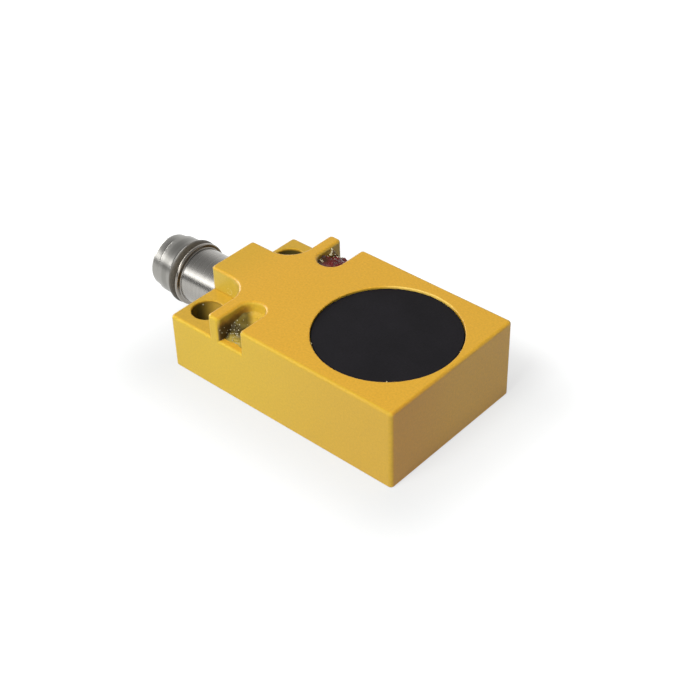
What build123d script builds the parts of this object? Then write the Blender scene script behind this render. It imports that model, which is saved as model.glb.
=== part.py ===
from build123d import *
import os
from math import cos, radians, sin

# Flat inductive proximity sensor in a die-cast housing, with a plug barrel at its rear end.
# Millimetres. The origin lies midway between the two screw holes, on the mounting face.
# +X points to the sensing end and +Z out of the sensing face.

# Housing, outside
body_length = 32.0
body_width = 20.0
body_height = 10.0
lug_height = 7.0
lug_length = 6.15
neck_width = 6.7
rib_thickness = 1.6
slot_width = 3.2
slot_depth = 5.1
recess_radius = 3.0
edge_radius = 0.35
corner_extra_radius = 0.1
base_edge_radius = 0.25

# Screw holes in the two lugs
hole_to_side = 3.3
hole_diameter = 3.6
hole_to_rear = 2.5
hole_rim_radius = 0.15

# Housing, inside
wall = 1.2
floor_thickness = 1.2
rear_wall = 3.0
screw_boss_wall = 1.0
chamber_reach = 2.5
chamber_corner_radius = 0.6
window_hole_radius = 1.1
window_to_side = 3.0

# Sensing face and the cup behind it
face_diameter = 16.4
face_to_front = 8.9
face_recess = 0.2
face_thickness = 0.8
face_seat_width = 0.7
face_rim_radius = 0.12
cap_clearance = 0.05
cap_edge_radius = 0.1
skirt_wall = 0.5

# Pot core, bobbin and winding
core_clearance = 0.05
core_to_parts = 0.9
core_below_skirt = 0.2
core_wall = 1.1
core_base = 1.2
core_post_radius = 2.9
core_hole_radius = 1.0
core_notch_width = 2.0
bobbin_clearance = 0.1
bobbin_wall = 0.4
bobbin_flange = 0.35
winding_depth = 1.8
winding_edge_chamfer = 0.25
lead_radius = 0.15
lead_spacing = 1.0
lead_bend_radius = 0.4

# Plug barrel, outside, from the housing outwards
barrel_height = 4.4
shaft_diameter = 6.8
shaft_length = 5.75
ring_diameter = 7.72
ring_width = 0.47
ring_edge_radius = 0.08
seal_section = 1.2
seal_side_clearance = 0.03
seal_floor_clearance = 0.02
seal_above_ring = 0.08
band_diameter = 7.1
band_length = 1.97
band_edge_radius = 0.1
snap_groove_width = 0.25
snap_groove_depth = 0.14
collar_diameter = 6.52
collar_length = 1.16
collar_edge_radius = 0.35
spigot_diameter = 6.0
press_clearance = 0.01

# Plug barrel, inside
socket_diameter = 4.8
socket_depth = 6.3
socket_lead_in = 0.2
shoulder_width = 0.35
shoulder_length = 1.4
key_width = 1.0
key_height = 0.45
key_to_mouth = 1.0

# Contact pins and the link wire from the top one
pin_diameter = 1.0
pin_circle_radius = 1.25
pin_to_mouth = 1.2
pin_tip_radius = 0.3
pin_shoulder_diameter = 1.3
pin_shoulder_length = 0.6
pin_shoulder_depth = 1.0
tail_diameter = 0.8
tail_reach = 2.7
link_radius = 0.3
link_reach = 1.3
link_bend_radius = 0.8

# Circuit board and solder
board_thickness = 0.8
board_clearance = 0.3
board_to_rear_wall = 0.4
solder_gap = 0.12
solder_width = 1.5
solder_taper = 20
solder_overrun = 0.4
link_pad_radius = 0.55
lead_pad_radius = 0.4
pad_solder_height = 0.45
pad_solder_taper = 0.15

# Parts on the board, each size as along the board, across it, height
package_standoff = 0.1
package_taper = 5
leg_thickness = 0.18
leg_width = 0.4
leg_root = 0.3
leg_out = 0.2
leg_slope = 0.15
leg_foot = 0.45
chip_size = (4.9, 3.9, 1.4)
chip_leg_pitch = 1.27
chip_legs_per_side = 4
regulator_size = (4.5, 2.4, 1.4)
regulator_leg_pitch = 1.5
transistor_size = (2.9, 1.3, 1.0)
transistor_leg_pitch = 1.9
diode_size = (1.6, 2.7, 1.1)
diode_spacing = 2.8
lamp_size = (2.6, 2.4, 1.6)
lamp_lens_radius = 0.9
lamp_lens_height = 0.3
capacitor_size = (2.0, 1.25, 1.1)
capacitor_pitch = (3.0, 2.0)
resistor_size = (1.6, 0.8, 0.45)
resistor_pitch = (2.8, 6.0)
end_cap_length = 0.4
end_cap_step = 0.05
part_spacing = 0.6
package_to_edge = 0.3

# Cast resin over the two indicator lamps
resin_clearance = 0.02
resin_height = 0.9
resin_to_side = 0.8
resin_edge_radius = 0.3

# Places along the housing that follow from the sizes
rear_x = -hole_to_rear
front_x = rear_x + body_length
body_x = rear_x + body_length / 2
rib_x = rear_x + lug_length
slot_x = rib_x + rib_thickness + slot_width / 2
face_x = front_x - face_to_front
half_width = body_width / 2
hole_y = half_width - hole_to_side
slot_arc_y = half_width - slot_depth + slot_width / 2
window_y = half_width - window_to_side
corner_radius = edge_radius + corner_extra_radius
cut_margin = 1.0
same_place = 1e-6

# Places inside the housing
well_radius = face_diameter / 2 - face_seat_width
ledge_z = body_height - face_recess - face_thickness
inner_rear_x = rear_x + rear_wall
channel_half = hole_y - hole_diameter / 2 - screw_boss_wall
chamber_half = half_width - wall
chamber_rear_x = hole_diameter / 2 + screw_boss_wall
chamber_front_x = face_x - well_radius + chamber_reach
chamber_top = lug_height - wall

# Places and radii of the plug barrel
shaft_radius = shaft_diameter / 2
ring_radius = ring_diameter / 2
seal_radius = ring_radius + seal_above_ring
seal_floor = seal_radius - seal_section - seal_floor_clearance
band_radius = band_diameter / 2
collar_radius = collar_diameter / 2
snap_floor = collar_radius - snap_groove_depth
socket_radius = socket_diameter / 2
rear_bore_radius = socket_radius - shoulder_width
ring_x = rear_x - shaft_length
seal_groove_x = ring_x - ring_width
band_x = seal_groove_x - seal_section - 2 * seal_side_clearance
snap_x = band_x - band_length
collar_x = snap_x - snap_groove_width
mouth_x = collar_x - collar_length
carrier_front_x = mouth_x + socket_depth
shoulder_x = inner_rear_x - shoulder_length
barrel_axis = Axis((0, 0, barrel_height), (1, 0, 0))

# Places of the pins and the board
tail_radius = tail_diameter / 2
tail_end_x = inner_rear_x + tail_reach
pin_angles = (90, 210, 330)
pin_places = [
    (pin_circle_radius * cos(radians(a)), barrel_height + pin_circle_radius * sin(radians(a)))
    for a in pin_angles
]
top_pin, *low_pins = pin_places
low_pin_z = low_pins[0][1]
board_top = low_pin_z - tail_radius - solder_gap
board_bottom = board_top - board_thickness
board_rear_x = inner_rear_x + board_to_rear_wall
link_x = tail_end_x + link_reach

# Places of the cup and the coil
skirt_radius = well_radius - cap_clearance
core_radius = skirt_radius - skirt_wall - core_clearance
core_bottom = board_top + resistor_size[2] + core_to_parts
core_height = ledge_z - core_bottom
skirt_bottom = core_bottom + core_below_skirt
groove_radius = core_radius - core_wall
bobbin_bottom = core_bottom + core_base
bobbin_top = ledge_z - bobbin_clearance
bobbin_hole_radius = core_post_radius + bobbin_clearance
bobbin_tube_radius = bobbin_hole_radius + bobbin_wall
bobbin_radius = groove_radius - bobbin_clearance
winding_radius = bobbin_tube_radius + winding_depth
lead_x = face_x - (groove_radius + core_radius) / 2
lead_z = (bobbin_bottom + bobbin_top) / 2

# Places of the parts on the board
lamp_top = board_top + lamp_size[2]
leg_reach = leg_out + leg_slope + leg_foot
chip_x = slot_x + (lamp_size[0] + part_spacing + chip_size[0]) / 2
beside_chip_y = chip_size[1] / 2 + leg_reach + part_spacing
transistor_y = window_y - lamp_size[1] / 2 - leg_reach - transistor_size[1] / 2 - part_spacing / 2
regulator_y = -transistor_y
regulator_x = chamber_rear_x + board_clearance + package_to_edge + regulator_size[0] / 2


def leg_outline(body_side, side, body_middle):
    """Side view of a bent leg, from inside the package down to its foot on the board."""
    upper = body_middle + leg_thickness / 2
    lower = body_middle - leg_thickness / 2
    outline = [
        (-leg_root, upper),
        (leg_out, upper),
        (leg_out + leg_slope, board_top + leg_thickness),
        (leg_reach, board_top + leg_thickness),
        (leg_reach, board_top),
        (leg_out + leg_slope - leg_thickness, board_top),
        (leg_out - leg_thickness, lower),
        (-leg_root, lower),
    ]
    return [(side * (body_side + y), z) for y, z in outline]


def legged_package(x, y, size, leg_places):
    """A moulded package on the board. leg_places lists (offset along the board, side) of each leg."""
    length, width, height = size
    with BuildPart() as package:
        with BuildSketch(Plane.XY.offset(board_top + package_standoff)):
            with Locations((x, y)):
                Rectangle(length, width)
        extrude(amount=height - package_standoff, taper=package_taper)
        for leg_x, side in leg_places:
            with BuildSketch(Plane.YZ.offset(x + leg_x)):
                with BuildLine():
                    points = leg_outline(width / 2, side, board_top + height / 2)
                    Polyline([(y + leg_y, z) for leg_y, z in points], close=True)
                make_face()
            extrude(amount=leg_width / 2, both=True)
    return package.part


def end_capped_chip(x, y, size):
    """A ceramic chip part with a slightly larger metal cap on each end."""
    length, width, height = size
    with BuildPart() as chip_part:
        with BuildSketch(Plane.XY.offset(board_top + end_cap_step)):
            with Locations((x, y)):
                Rectangle(length - end_cap_length, width - 2 * end_cap_step)
        extrude(amount=height - 2 * end_cap_step)
        with BuildSketch(Plane.XY.offset(board_top)):
            for end in (-1, 1):
                with Locations((x + end * (length - end_cap_length) / 2, y)):
                    Rectangle(end_cap_length, width)
        extrude(amount=height)
    return chip_part.part


def indicator_lamp(side):
    """A surface lamp under one slot: square body and a low round lens."""
    length, width, height = lamp_size
    with BuildPart() as lamp:
        with BuildSketch(Plane.XY.offset(board_top)):
            with Locations((slot_x, side * window_y)):
                Rectangle(length, width)
        extrude(amount=height - lamp_lens_height)
        with BuildSketch(Plane.XY.offset(lamp_top - lamp_lens_height)):
            with Locations((slot_x, side * window_y)):
                Circle(lamp_lens_radius)
        extrude(amount=lamp_lens_height)
        fillet(edges().group_by(Axis.Z)[-1], radius=lamp_lens_height / 2)
    return lamp.part


def light_window(side, lamp):
    """Resin cast over a lamp: a stem through the slot floor and a pad that fills the slot."""
    with BuildPart() as window:
        with BuildSketch(Plane.XY.offset(lug_height)):
            with Locations((slot_x, side * half_width)):
                SlotCenterToCenter(
                    2 * (half_width - slot_arc_y), slot_width - 2 * resin_clearance, rotation=90
                )
            with Locations((slot_x, side * (half_width - resin_to_side - slot_depth / 2))):
                Rectangle(slot_width, slot_depth, mode=Mode.INTERSECT)
        extrude(amount=resin_height)
        fillet(faces().sort_by(Axis.Z)[-1].edges(), radius=resin_edge_radius)
        with BuildSketch(Plane.XY.offset(lamp_top - lamp_lens_height)):
            with Locations((slot_x, side * window_y)):
                Circle(window_hole_radius)
        extrude(amount=lug_height - lamp_top + lamp_lens_height)
        add(lamp, mode=Mode.SUBTRACT)
    return window.part


# The hollow inside the housing: screw-side channel, chamber for the board, well for the cup
with BuildPart() as cavity:
    with BuildSketch(Plane.XY.offset(floor_thickness)):
        with Locations(((chamber_rear_x + chamber_front_x) / 2, 0)):
            RectangleRounded(
                chamber_front_x - chamber_rear_x, 2 * chamber_half, chamber_corner_radius
            )
        with Locations(((inner_rear_x + face_x) / 2, 0)):
            Rectangle(face_x - inner_rear_x, 2 * channel_half)
    extrude(amount=chamber_top - floor_thickness)
    with BuildSketch(Plane.XY.offset(floor_thickness)):
        with Locations(((inner_rear_x + slot_x) / 2, 0)):
            Rectangle(slot_x - inner_rear_x, neck_width - 2 * wall)
    extrude(amount=body_height - wall - floor_thickness)
    with BuildSketch(Plane.XY.offset(floor_thickness)):
        with Locations((face_x, 0)):
            Circle(well_radius)
    extrude(amount=ledge_z - floor_thickness)

# Full-height block of the housing, cut by the two screw recesses and the two lamp slots
with BuildPart() as full_height_block:
    with BuildSketch(Plane.XY.offset(lug_height - 2 * edge_radius)):
        with Locations((body_x, 0)):
            Rectangle(body_length, body_width)
        recess_length = lug_length + recess_radius + cut_margin
        recess_width = half_width - neck_width / 2 + recess_radius + cut_margin
        for side in (-1, 1):
            recess_y = side * (neck_width + recess_width) / 2
            with Locations((rib_x - recess_length / 2, recess_y)):
                RectangleRounded(
                    recess_length, recess_width, recess_radius, mode=Mode.SUBTRACT
                )
            with Locations((slot_x, side * half_width)):
                SlotCenterToCenter(
                    2 * (half_width - slot_arc_y), slot_width, rotation=90, mode=Mode.SUBTRACT
                )
        outer_corners = [
            v
            for v in vertices()
            if abs(abs(v.Y) - half_width) < same_place or abs(v.X - rear_x) < same_place
        ]
        fillet(outer_corners, radius=corner_radius)
    extrude(amount=body_height - lug_height + 2 * edge_radius)
    fillet(edges().group_by(Axis.Z)[-1], radius=edge_radius)

# Die-cast housing: the full-height block on a low block that forms the lugs
with BuildPart() as housing:
    with BuildSketch():
        with Locations((body_x, 0)):
            RectangleRounded(body_length, body_width, corner_radius)
    extrude(amount=lug_height)
    fillet(edges().group_by(Axis.Z)[-1], radius=edge_radius)
    fillet(edges().group_by(Axis.Z)[0], radius=base_edge_radius)
    add(full_height_block.part)
    add(cavity.part, mode=Mode.SUBTRACT)
    with Locations((face_x, 0, body_height)):
        Hole(face_diameter / 2, depth=body_height - ledge_z)
    with Locations((0, hole_y, lug_height), (0, -hole_y, lug_height)):
        Hole(hole_diameter / 2, depth=lug_height)
    with Locations((slot_x, window_y, lug_height), (slot_x, -window_y, lug_height)):
        Hole(window_hole_radius, depth=wall)
    with BuildSketch(Plane.YZ.offset(rear_x)):
        with Locations((0, barrel_height)):
            Circle(spigot_diameter / 2)
    extrude(amount=rear_wall, mode=Mode.SUBTRACT)
    round_edges = edges().filter_by(GeomType.CIRCLE)
    face_rim = [
        e for e in round_edges
        if abs(e.center().Z - body_height) < same_place and abs(e.radius - face_diameter / 2) < same_place
    ]
    hole_rims = [
        e for e in round_edges
        if abs(e.center().Z - lug_height) < same_place and abs(e.radius - hole_diameter / 2) < same_place
    ]
    fillet(face_rim, radius=face_rim_radius)
    fillet(hole_rims, radius=hole_rim_radius)
housing.part.label = "housing"

# Black plastic cup: its disc is the sensing face, its skirt holds the coil
with BuildPart() as active_face_cap:
    with BuildSketch(Plane.XY.offset(ledge_z)):
        with Locations((face_x, 0)):
            Circle(face_diameter / 2 - cap_clearance)
    extrude(amount=face_thickness)
    fillet(edges().group_by(Axis.Z)[-1], radius=cap_edge_radius)
    with BuildSketch(Plane.XY.offset(skirt_bottom)):
        with Locations((face_x, 0)):
            Circle(skirt_radius)
            Circle(skirt_radius - skirt_wall, mode=Mode.SUBTRACT)
    extrude(amount=ledge_z - skirt_bottom)
active_face_cap.part.label = "active_face_cap"

# Half pot core of ferrite, open towards the sensing face
with BuildPart() as ferrite_core:
    with BuildSketch(Plane.XY.offset(core_bottom)):
        with Locations((face_x, 0)):
            Circle(core_radius)
            Circle(core_hole_radius, mode=Mode.SUBTRACT)
    extrude(amount=core_height)
    with BuildSketch(Plane.XY.offset(bobbin_bottom)):
        with Locations((face_x, 0)):
            Circle(groove_radius)
            Circle(core_post_radius, mode=Mode.SUBTRACT)
    extrude(amount=core_height - core_base, mode=Mode.SUBTRACT)
    notch_length = core_radius - bobbin_radius + cut_margin
    with BuildSketch(Plane.XY.offset(core_bottom)):
        with Locations((face_x - bobbin_radius - notch_length / 2, 0)):
            Rectangle(notch_length, core_notch_width)
    extrude(amount=core_height, mode=Mode.SUBTRACT)
ferrite_core.part.label = "ferrite_core"

# Plastic bobbin in the groove of the core
with BuildPart() as coil_bobbin:
    for flange_z in (bobbin_bottom, bobbin_top - bobbin_flange):
        with BuildSketch(Plane.XY.offset(flange_z)):
            with Locations((face_x, 0)):
                Circle(bobbin_radius)
        extrude(amount=bobbin_flange)
    with BuildSketch(Plane.XY.offset(bobbin_bottom)):
        with Locations((face_x, 0)):
            Circle(bobbin_tube_radius)
    extrude(amount=bobbin_top - bobbin_bottom)
    with Locations((face_x, 0, bobbin_top)):
        Hole(bobbin_hole_radius, depth=bobbin_top - bobbin_bottom)
coil_bobbin.part.label = "coil_bobbin"

# Copper winding between the flanges of the bobbin
with BuildPart() as coil_winding:
    with BuildSketch(Plane.XY.offset(bobbin_bottom + bobbin_flange)):
        with Locations((face_x, 0)):
            Circle(winding_radius)
    extrude(amount=bobbin_top - bobbin_bottom - 2 * bobbin_flange)
    chamfer(edges().filter_by(GeomType.CIRCLE), length=winding_edge_chamfer)
    with Locations((face_x, 0, bobbin_top)):
        Hole(bobbin_tube_radius, depth=bobbin_top - bobbin_bottom)
coil_winding.part.label = "coil_winding"

# The two ends of the winding, led through the notch of the core down to the board
with BuildPart() as coil_leads:
    for side in (-1, 1):
        lead_y = side * lead_spacing / 2
        with BuildLine() as lead_path:
            FilletPolyline(
                (face_x - winding_radius, lead_y, lead_z),
                (lead_x, lead_y, lead_z),
                (lead_x, lead_y, board_top),
                radius=lead_bend_radius,
            )
        with BuildSketch(Plane(origin=lead_path.line @ 0, z_dir=lead_path.line % 0)):
            Circle(lead_radius)
        sweep()
coil_leads.part.label = "coil_leads"

# Turned steel barrel that plugs into the cordset, pressed into the rear of the housing
with BuildPart() as connector_shell:
    with BuildSketch(Plane.XZ):
        with BuildLine():
            outline = [
                (inner_rear_x, spigot_diameter / 2 - press_clearance),
                (rear_x, spigot_diameter / 2 - press_clearance),
                (rear_x, shaft_radius),
                (ring_x, shaft_radius),
                (ring_x, ring_radius),
                (seal_groove_x, ring_radius),
                (seal_groove_x, seal_floor),
                (band_x, seal_floor),
                (band_x, band_radius),
                (snap_x, band_radius),
                (snap_x, snap_floor),
                (collar_x, snap_floor),
                (collar_x, collar_radius),
                (mouth_x, collar_radius),
                (mouth_x, socket_radius + socket_lead_in),
                (mouth_x + socket_lead_in, socket_radius),
                (shoulder_x, socket_radius),
                (shoulder_x, rear_bore_radius),
                (inner_rear_x, rear_bore_radius),
            ]
            Polyline([(x, barrel_height + r) for x, r in outline], close=True)
        make_face()
    revolve(axis=barrel_axis)
    for rim_radius, rounding in ((ring_radius, ring_edge_radius), (band_radius, band_edge_radius)):
        rim = edges().filter_by(GeomType.CIRCLE)
        fillet([e for e in rim if abs(e.radius - rim_radius) < same_place], radius=rounding)
    mouth_edge = edges().group_by(Axis.X)[0].sort_by(SortBy.RADIUS)[-1]
    fillet(mouth_edge, radius=collar_edge_radius)
connector_shell.part.label = "connector_shell"

# Round rubber ring in the groove between the steel ring and the band
with BuildPart() as barrel_seal_ring:
    with BuildSketch(Plane.XZ):
        with Locations(((seal_groove_x + band_x) / 2, barrel_height + seal_radius - seal_section / 2)):
            Circle(seal_section / 2)
    revolve(axis=barrel_axis)
barrel_seal_ring.part.label = "barrel_seal_ring"

# One turned contact: pin, shoulder and solder tail
with BuildPart() as pin_blank:
    with BuildSketch(Plane.XZ):
        with BuildLine():
            shoulder_front_x = carrier_front_x + pin_shoulder_depth
            outline = [
                (mouth_x + pin_to_mouth, 0),
                (mouth_x + pin_to_mouth, pin_diameter / 2),
                (shoulder_front_x, pin_diameter / 2),
                (shoulder_front_x, pin_shoulder_diameter / 2),
                (shoulder_front_x + pin_shoulder_length, pin_shoulder_diameter / 2),
                (shoulder_front_x + pin_shoulder_length, tail_radius),
                (tail_end_x, tail_radius),
                (tail_end_x, 0),
            ]
            Polyline(outline, close=True)
        make_face()
    revolve(axis=Axis.X)
    fillet(edges().filter_by(GeomType.CIRCLE).group_by(Axis.X)[0], radius=pin_tip_radius)

# Three contacts on one circle
with BuildPart() as contact_pins:
    for pin_y, pin_z in pin_places:
        with Locations((0, pin_y, pin_z)):
            add(pin_blank.part)
contact_pins.part.label = "contact_pins"

# Moulded insulator that carries the pins, with a key rib along the socket
with BuildPart() as contact_carrier:
    with BuildSketch(Plane.YZ.offset(carrier_front_x)):
        with Locations((0, barrel_height)):
            Circle(socket_radius - press_clearance)
    extrude(amount=shoulder_x - carrier_front_x)
    with BuildSketch(Plane.YZ.offset(mouth_x + key_to_mouth)):
        with Locations((0, barrel_height)):
            Circle(socket_radius - press_clearance)
        with Locations((0, barrel_height - socket_radius + key_height / 2)):
            Rectangle(key_width, key_height, mode=Mode.INTERSECT)
    extrude(amount=shoulder_x - mouth_x - key_to_mouth)
    add(contact_pins.part, mode=Mode.SUBTRACT)
contact_carrier.part.label = "contact_carrier"

# Wire from the tail of the top pin down to the board
with BuildPart() as link_wire:
    with BuildLine() as link_path:
        FilletPolyline(
            (tail_end_x, top_pin[0], top_pin[1]),
            (link_x, top_pin[0], top_pin[1]),
            (link_x, top_pin[0], board_top),
            radius=link_bend_radius,
        )
    with BuildSketch(Plane(origin=link_path.line @ 0, z_dir=link_path.line % 0)):
        Circle(link_radius)
    sweep()
link_wire.part.label = "link_wire"

# Circuit board: a tongue between the screws, a wide middle, a round end under the coil
with BuildPart() as circuit_board:
    with BuildSketch(Plane.XY.offset(board_bottom)):
        with Locations(((board_rear_x + face_x) / 2, 0)):
            Rectangle(face_x - board_rear_x, 2 * (channel_half - board_clearance))
        with Locations(((chamber_rear_x + chamber_front_x) / 2, 0)):
            RectangleRounded(
                chamber_front_x - chamber_rear_x - 2 * board_clearance,
                2 * (chamber_half - board_clearance),
                chamber_corner_radius,
            )
        with Locations((face_x, 0)):
            Circle(well_radius - board_clearance)
    extrude(amount=board_thickness)
circuit_board.part.label = "circuit_board"

# Oscillator and switching circuit, with four legs on each side
with BuildPart() as sensor_chip:
    first_leg_x = -chip_leg_pitch * (chip_legs_per_side - 1) / 2
    chip_legs = [
        (first_leg_x + k * chip_leg_pitch, side)
        for k in range(chip_legs_per_side)
        for side in (-1, 1)
    ]
    add(legged_package(chip_x, 0, chip_size, chip_legs))
sensor_chip.part.label = "sensor_chip"

# Output transistor, two legs on one side and one on the other
with BuildPart() as output_transistor:
    transistor_legs = [(-transistor_leg_pitch / 2, -1), (transistor_leg_pitch / 2, -1), (0, 1)]
    add(legged_package(slot_x, transistor_y, transistor_size, transistor_legs))
output_transistor.part.label = "output_transistor"

# Voltage regulator, three legs on the side towards the chip
with BuildPart() as voltage_regulator:
    regulator_legs = [(regulator_leg_pitch * k, 1) for k in (-1, 0, 1)]
    add(legged_package(regulator_x, regulator_y, regulator_size, regulator_legs))
voltage_regulator.part.label = "voltage_regulator"

# Two suppressor diodes beside the chip
with BuildPart() as suppressor_diodes:
    diode_y = beside_chip_y + leg_reach + diode_size[1] / 2
    for place in (-1, 1):
        add(legged_package(chip_x + place * diode_spacing / 2, diode_y, diode_size, [(0, -1), (0, 1)]))
suppressor_diodes.part.label = "suppressor_diodes"

# Four chip capacitors on the other side of the chip
with BuildPart() as chip_capacitors:
    for column in (-1, 1):
        for row in (0, 1):
            capacitor_x = chip_x + column * capacitor_pitch[0] / 2
            capacitor_y = -beside_chip_y - capacitor_size[1] / 2 - row * capacitor_pitch[1]
            add(end_capped_chip(capacitor_x, capacitor_y, capacitor_size))
chip_capacitors.part.label = "chip_capacitors"

# Six chip resistors under the coil
with BuildPart() as chip_resistors:
    for column in (-1, 0, 1):
        for row in (-1, 1):
            resistor_x = face_x + column * resistor_pitch[0]
            add(end_capped_chip(resistor_x, row * resistor_pitch[1] / 2, resistor_size))
chip_resistors.part.label = "chip_resistors"

# Indicator lamps under the two slots
with BuildPart() as yellow_lamp:
    add(indicator_lamp(-1))
yellow_lamp.part.label = "yellow_lamp"

with BuildPart() as red_lamp:
    add(indicator_lamp(1))
red_lamp.part.label = "red_lamp"

# Resin windows over the lamps
with BuildPart() as clear_light_window:
    add(light_window(-1, yellow_lamp.part))
clear_light_window.part.label = "clear_light_window"

with BuildPart() as red_light_window:
    add(light_window(1, red_lamp.part))
red_light_window.part.label = "red_light_window"

# Solder on the board: round the two low tails, at the link wire and at the coil leads
with BuildPart() as solder_joints:
    with BuildSketch(Plane.XY.offset(board_top)):
        joint_length = tail_end_x - board_rear_x + solder_overrun - board_clearance
        for pin_y, pin_z in low_pins:
            with Locations((board_rear_x + board_clearance + joint_length / 2, pin_y)):
                Rectangle(joint_length, solder_width)
    extrude(amount=low_pin_z - board_top, taper=solder_taper)
    pads = [(link_x, 0, link_pad_radius)]
    pads += [(lead_x, side * lead_spacing / 2, lead_pad_radius) for side in (-1, 1)]
    for pad_x, pad_y, pad_radius in pads:
        with Locations((pad_x, pad_y, board_top)):
            Cone(
                pad_radius,
                pad_radius - pad_solder_taper,
                pad_solder_height,
                align=(Align.CENTER, Align.CENTER, Align.MIN),
            )
    add(contact_pins.part, mode=Mode.SUBTRACT)
    add(link_wire.part, mode=Mode.SUBTRACT)
    add(coil_leads.part, mode=Mode.SUBTRACT)
solder_joints.part.label = "solder_joints"

# Potting that fills what is left of the hollow, up to the rim of the cup
with BuildPart() as potting_compound:
    add(cavity.part)
    with BuildSketch(Plane.XY.offset(skirt_bottom)):
        with Locations((face_x, 0)):
            Circle(well_radius)
    extrude(amount=ledge_z - skirt_bottom, mode=Mode.SUBTRACT)
    with BuildSketch(Plane.YZ.offset(shoulder_x)):
        with Locations((0, barrel_height)):
            Circle(rear_bore_radius)
    extrude(amount=shoulder_length)
    potted = (
        ferrite_core, coil_leads, contact_pins, link_wire, circuit_board, sensor_chip,
        output_transistor, voltage_regulator, suppressor_diodes, chip_capacitors,
        chip_resistors, yellow_lamp, red_lamp, clear_light_window, red_light_window,
        solder_joints,
    )
    for piece in potted:
        add(piece.part, mode=Mode.SUBTRACT)
potting_compound.part.label = "potting_compound"

os.makedirs("parts", exist_ok=True)
for piece in (housing, active_face_cap, coil_bobbin, coil_winding, connector_shell,
              barrel_seal_ring, contact_carrier, potting_compound) + potted:
    export_step(piece.part, f"parts/{piece.part.label}.step")
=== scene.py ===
# %% [markdown]
# A flat proximity sensor: a painted die-cast block with a black sensing face,
# two screw lugs, two lamp slots filled with resin, and a turned steel plug barrel.
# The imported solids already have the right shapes, so this lesson dresses them:
# it adds a camera, a small studio, materials made of nodes, and the few pieces
# whose surface is too free for solids, such as poured resin.

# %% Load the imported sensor
import math

import bmesh
import bpy
from mathutils import Matrix, Vector, noise
from mathutils.bvhtree import BVHTree


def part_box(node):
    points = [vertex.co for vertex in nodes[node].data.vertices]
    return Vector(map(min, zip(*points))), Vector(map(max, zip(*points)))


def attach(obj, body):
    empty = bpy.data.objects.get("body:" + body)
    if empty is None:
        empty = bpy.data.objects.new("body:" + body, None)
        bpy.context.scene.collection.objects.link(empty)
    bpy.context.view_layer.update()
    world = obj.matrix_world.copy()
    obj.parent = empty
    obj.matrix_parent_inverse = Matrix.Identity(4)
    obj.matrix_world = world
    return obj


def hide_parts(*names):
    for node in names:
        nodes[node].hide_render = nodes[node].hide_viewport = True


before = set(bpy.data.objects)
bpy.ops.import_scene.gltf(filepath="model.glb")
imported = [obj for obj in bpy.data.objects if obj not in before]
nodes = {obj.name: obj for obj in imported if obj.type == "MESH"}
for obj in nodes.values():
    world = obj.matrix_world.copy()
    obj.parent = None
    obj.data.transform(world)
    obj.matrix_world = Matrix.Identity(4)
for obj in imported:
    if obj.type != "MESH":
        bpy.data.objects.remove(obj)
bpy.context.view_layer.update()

mm = 0.001
scene = bpy.context.scene
print("pieces in the frame:", sorted(nodes))

# %% [markdown]
# The camera stands where the photographer stood. A solve on the corners of the block
# gave its place, its tilt and its lens, and those numbers are all it needs.
# A camera looks along its own -Z, so the three columns of its matrix are
# the directions of image right, image up and backwards.

# %% Camera
azimuth = math.radians(42.246)
elevation = math.radians(38.207)
roll = math.radians(-1.523)
eye = Vector((97.137, -90.205, 100.804)) * mm

back = Vector((
    math.sin(azimuth) * math.cos(elevation),
    -math.cos(azimuth) * math.cos(elevation),
    math.sin(elevation),
))
level_right = Vector((math.cos(azimuth), math.sin(azimuth), 0))
level_up = back.cross(level_right)
image_right = level_right * math.cos(roll) + level_up * math.sin(roll)
image_up = level_up * math.cos(roll) - level_right * math.sin(roll)

lens = bpy.data.cameras.new("camera")
lens.sensor_width = 36
lens.lens = 72.95
lens.clip_start = 0.01
camera = bpy.data.objects.new("camera", lens)
camera.matrix_world = Matrix.Translation(eye) @ Matrix(
    (image_right, image_up, back)
).transposed().to_4x4()
scene.collection.objects.link(camera)
scene.camera = camera
scene.view_settings.view_transform = "Standard"
print("camera at", [round(v / mm, 1) for v in eye], "mm")

# %% [markdown]
# Four small helpers save typing in every material. One adds a node and sets its
# inputs by name, one links two sockets, one starts a material, and one runs
# a list of sockets and numbers through the same sum, one after another.

# %% Node helpers
def add_node(tree, kind, inputs=None, **settings):
    node = tree.nodes.new(kind)
    for name, value in settings.items():
        setattr(node, name, value)
    for name, value in (inputs or {}).items():
        node.inputs[name].default_value = value
    return node


def link(tree, output, target):
    tree.links.new(output, target)


def new_material(name):
    material = bpy.data.materials.new(name)
    material.use_nodes = True
    shader = material.node_tree.nodes["Principled BSDF"]
    place = add_node(material.node_tree, "ShaderNodeTexCoord")
    return material, material.node_tree, shader, place.outputs["Object"]


def combine(tree, operation, *values):
    result = values[0]
    for value in values[1:]:
        node = add_node(tree, "ShaderNodeMath", operation=operation)
        for socket, source in zip(node.inputs, (result, value)):
            if isinstance(source, (int, float)):
                socket.default_value = source
            else:
                link(tree, source, socket)
        result = node.outputs[0]
    return result


print("helpers: add_node, link, new_material, combine")

# %% [markdown]
# The backdrop is white, as in the photo. The world is white near the horizon and
# grey overhead, and only what the camera or a mirror-like surface sees reads that.
# The light that it throws on the sensor is a plain weak one, so colours stay
# as they are written.

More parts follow.
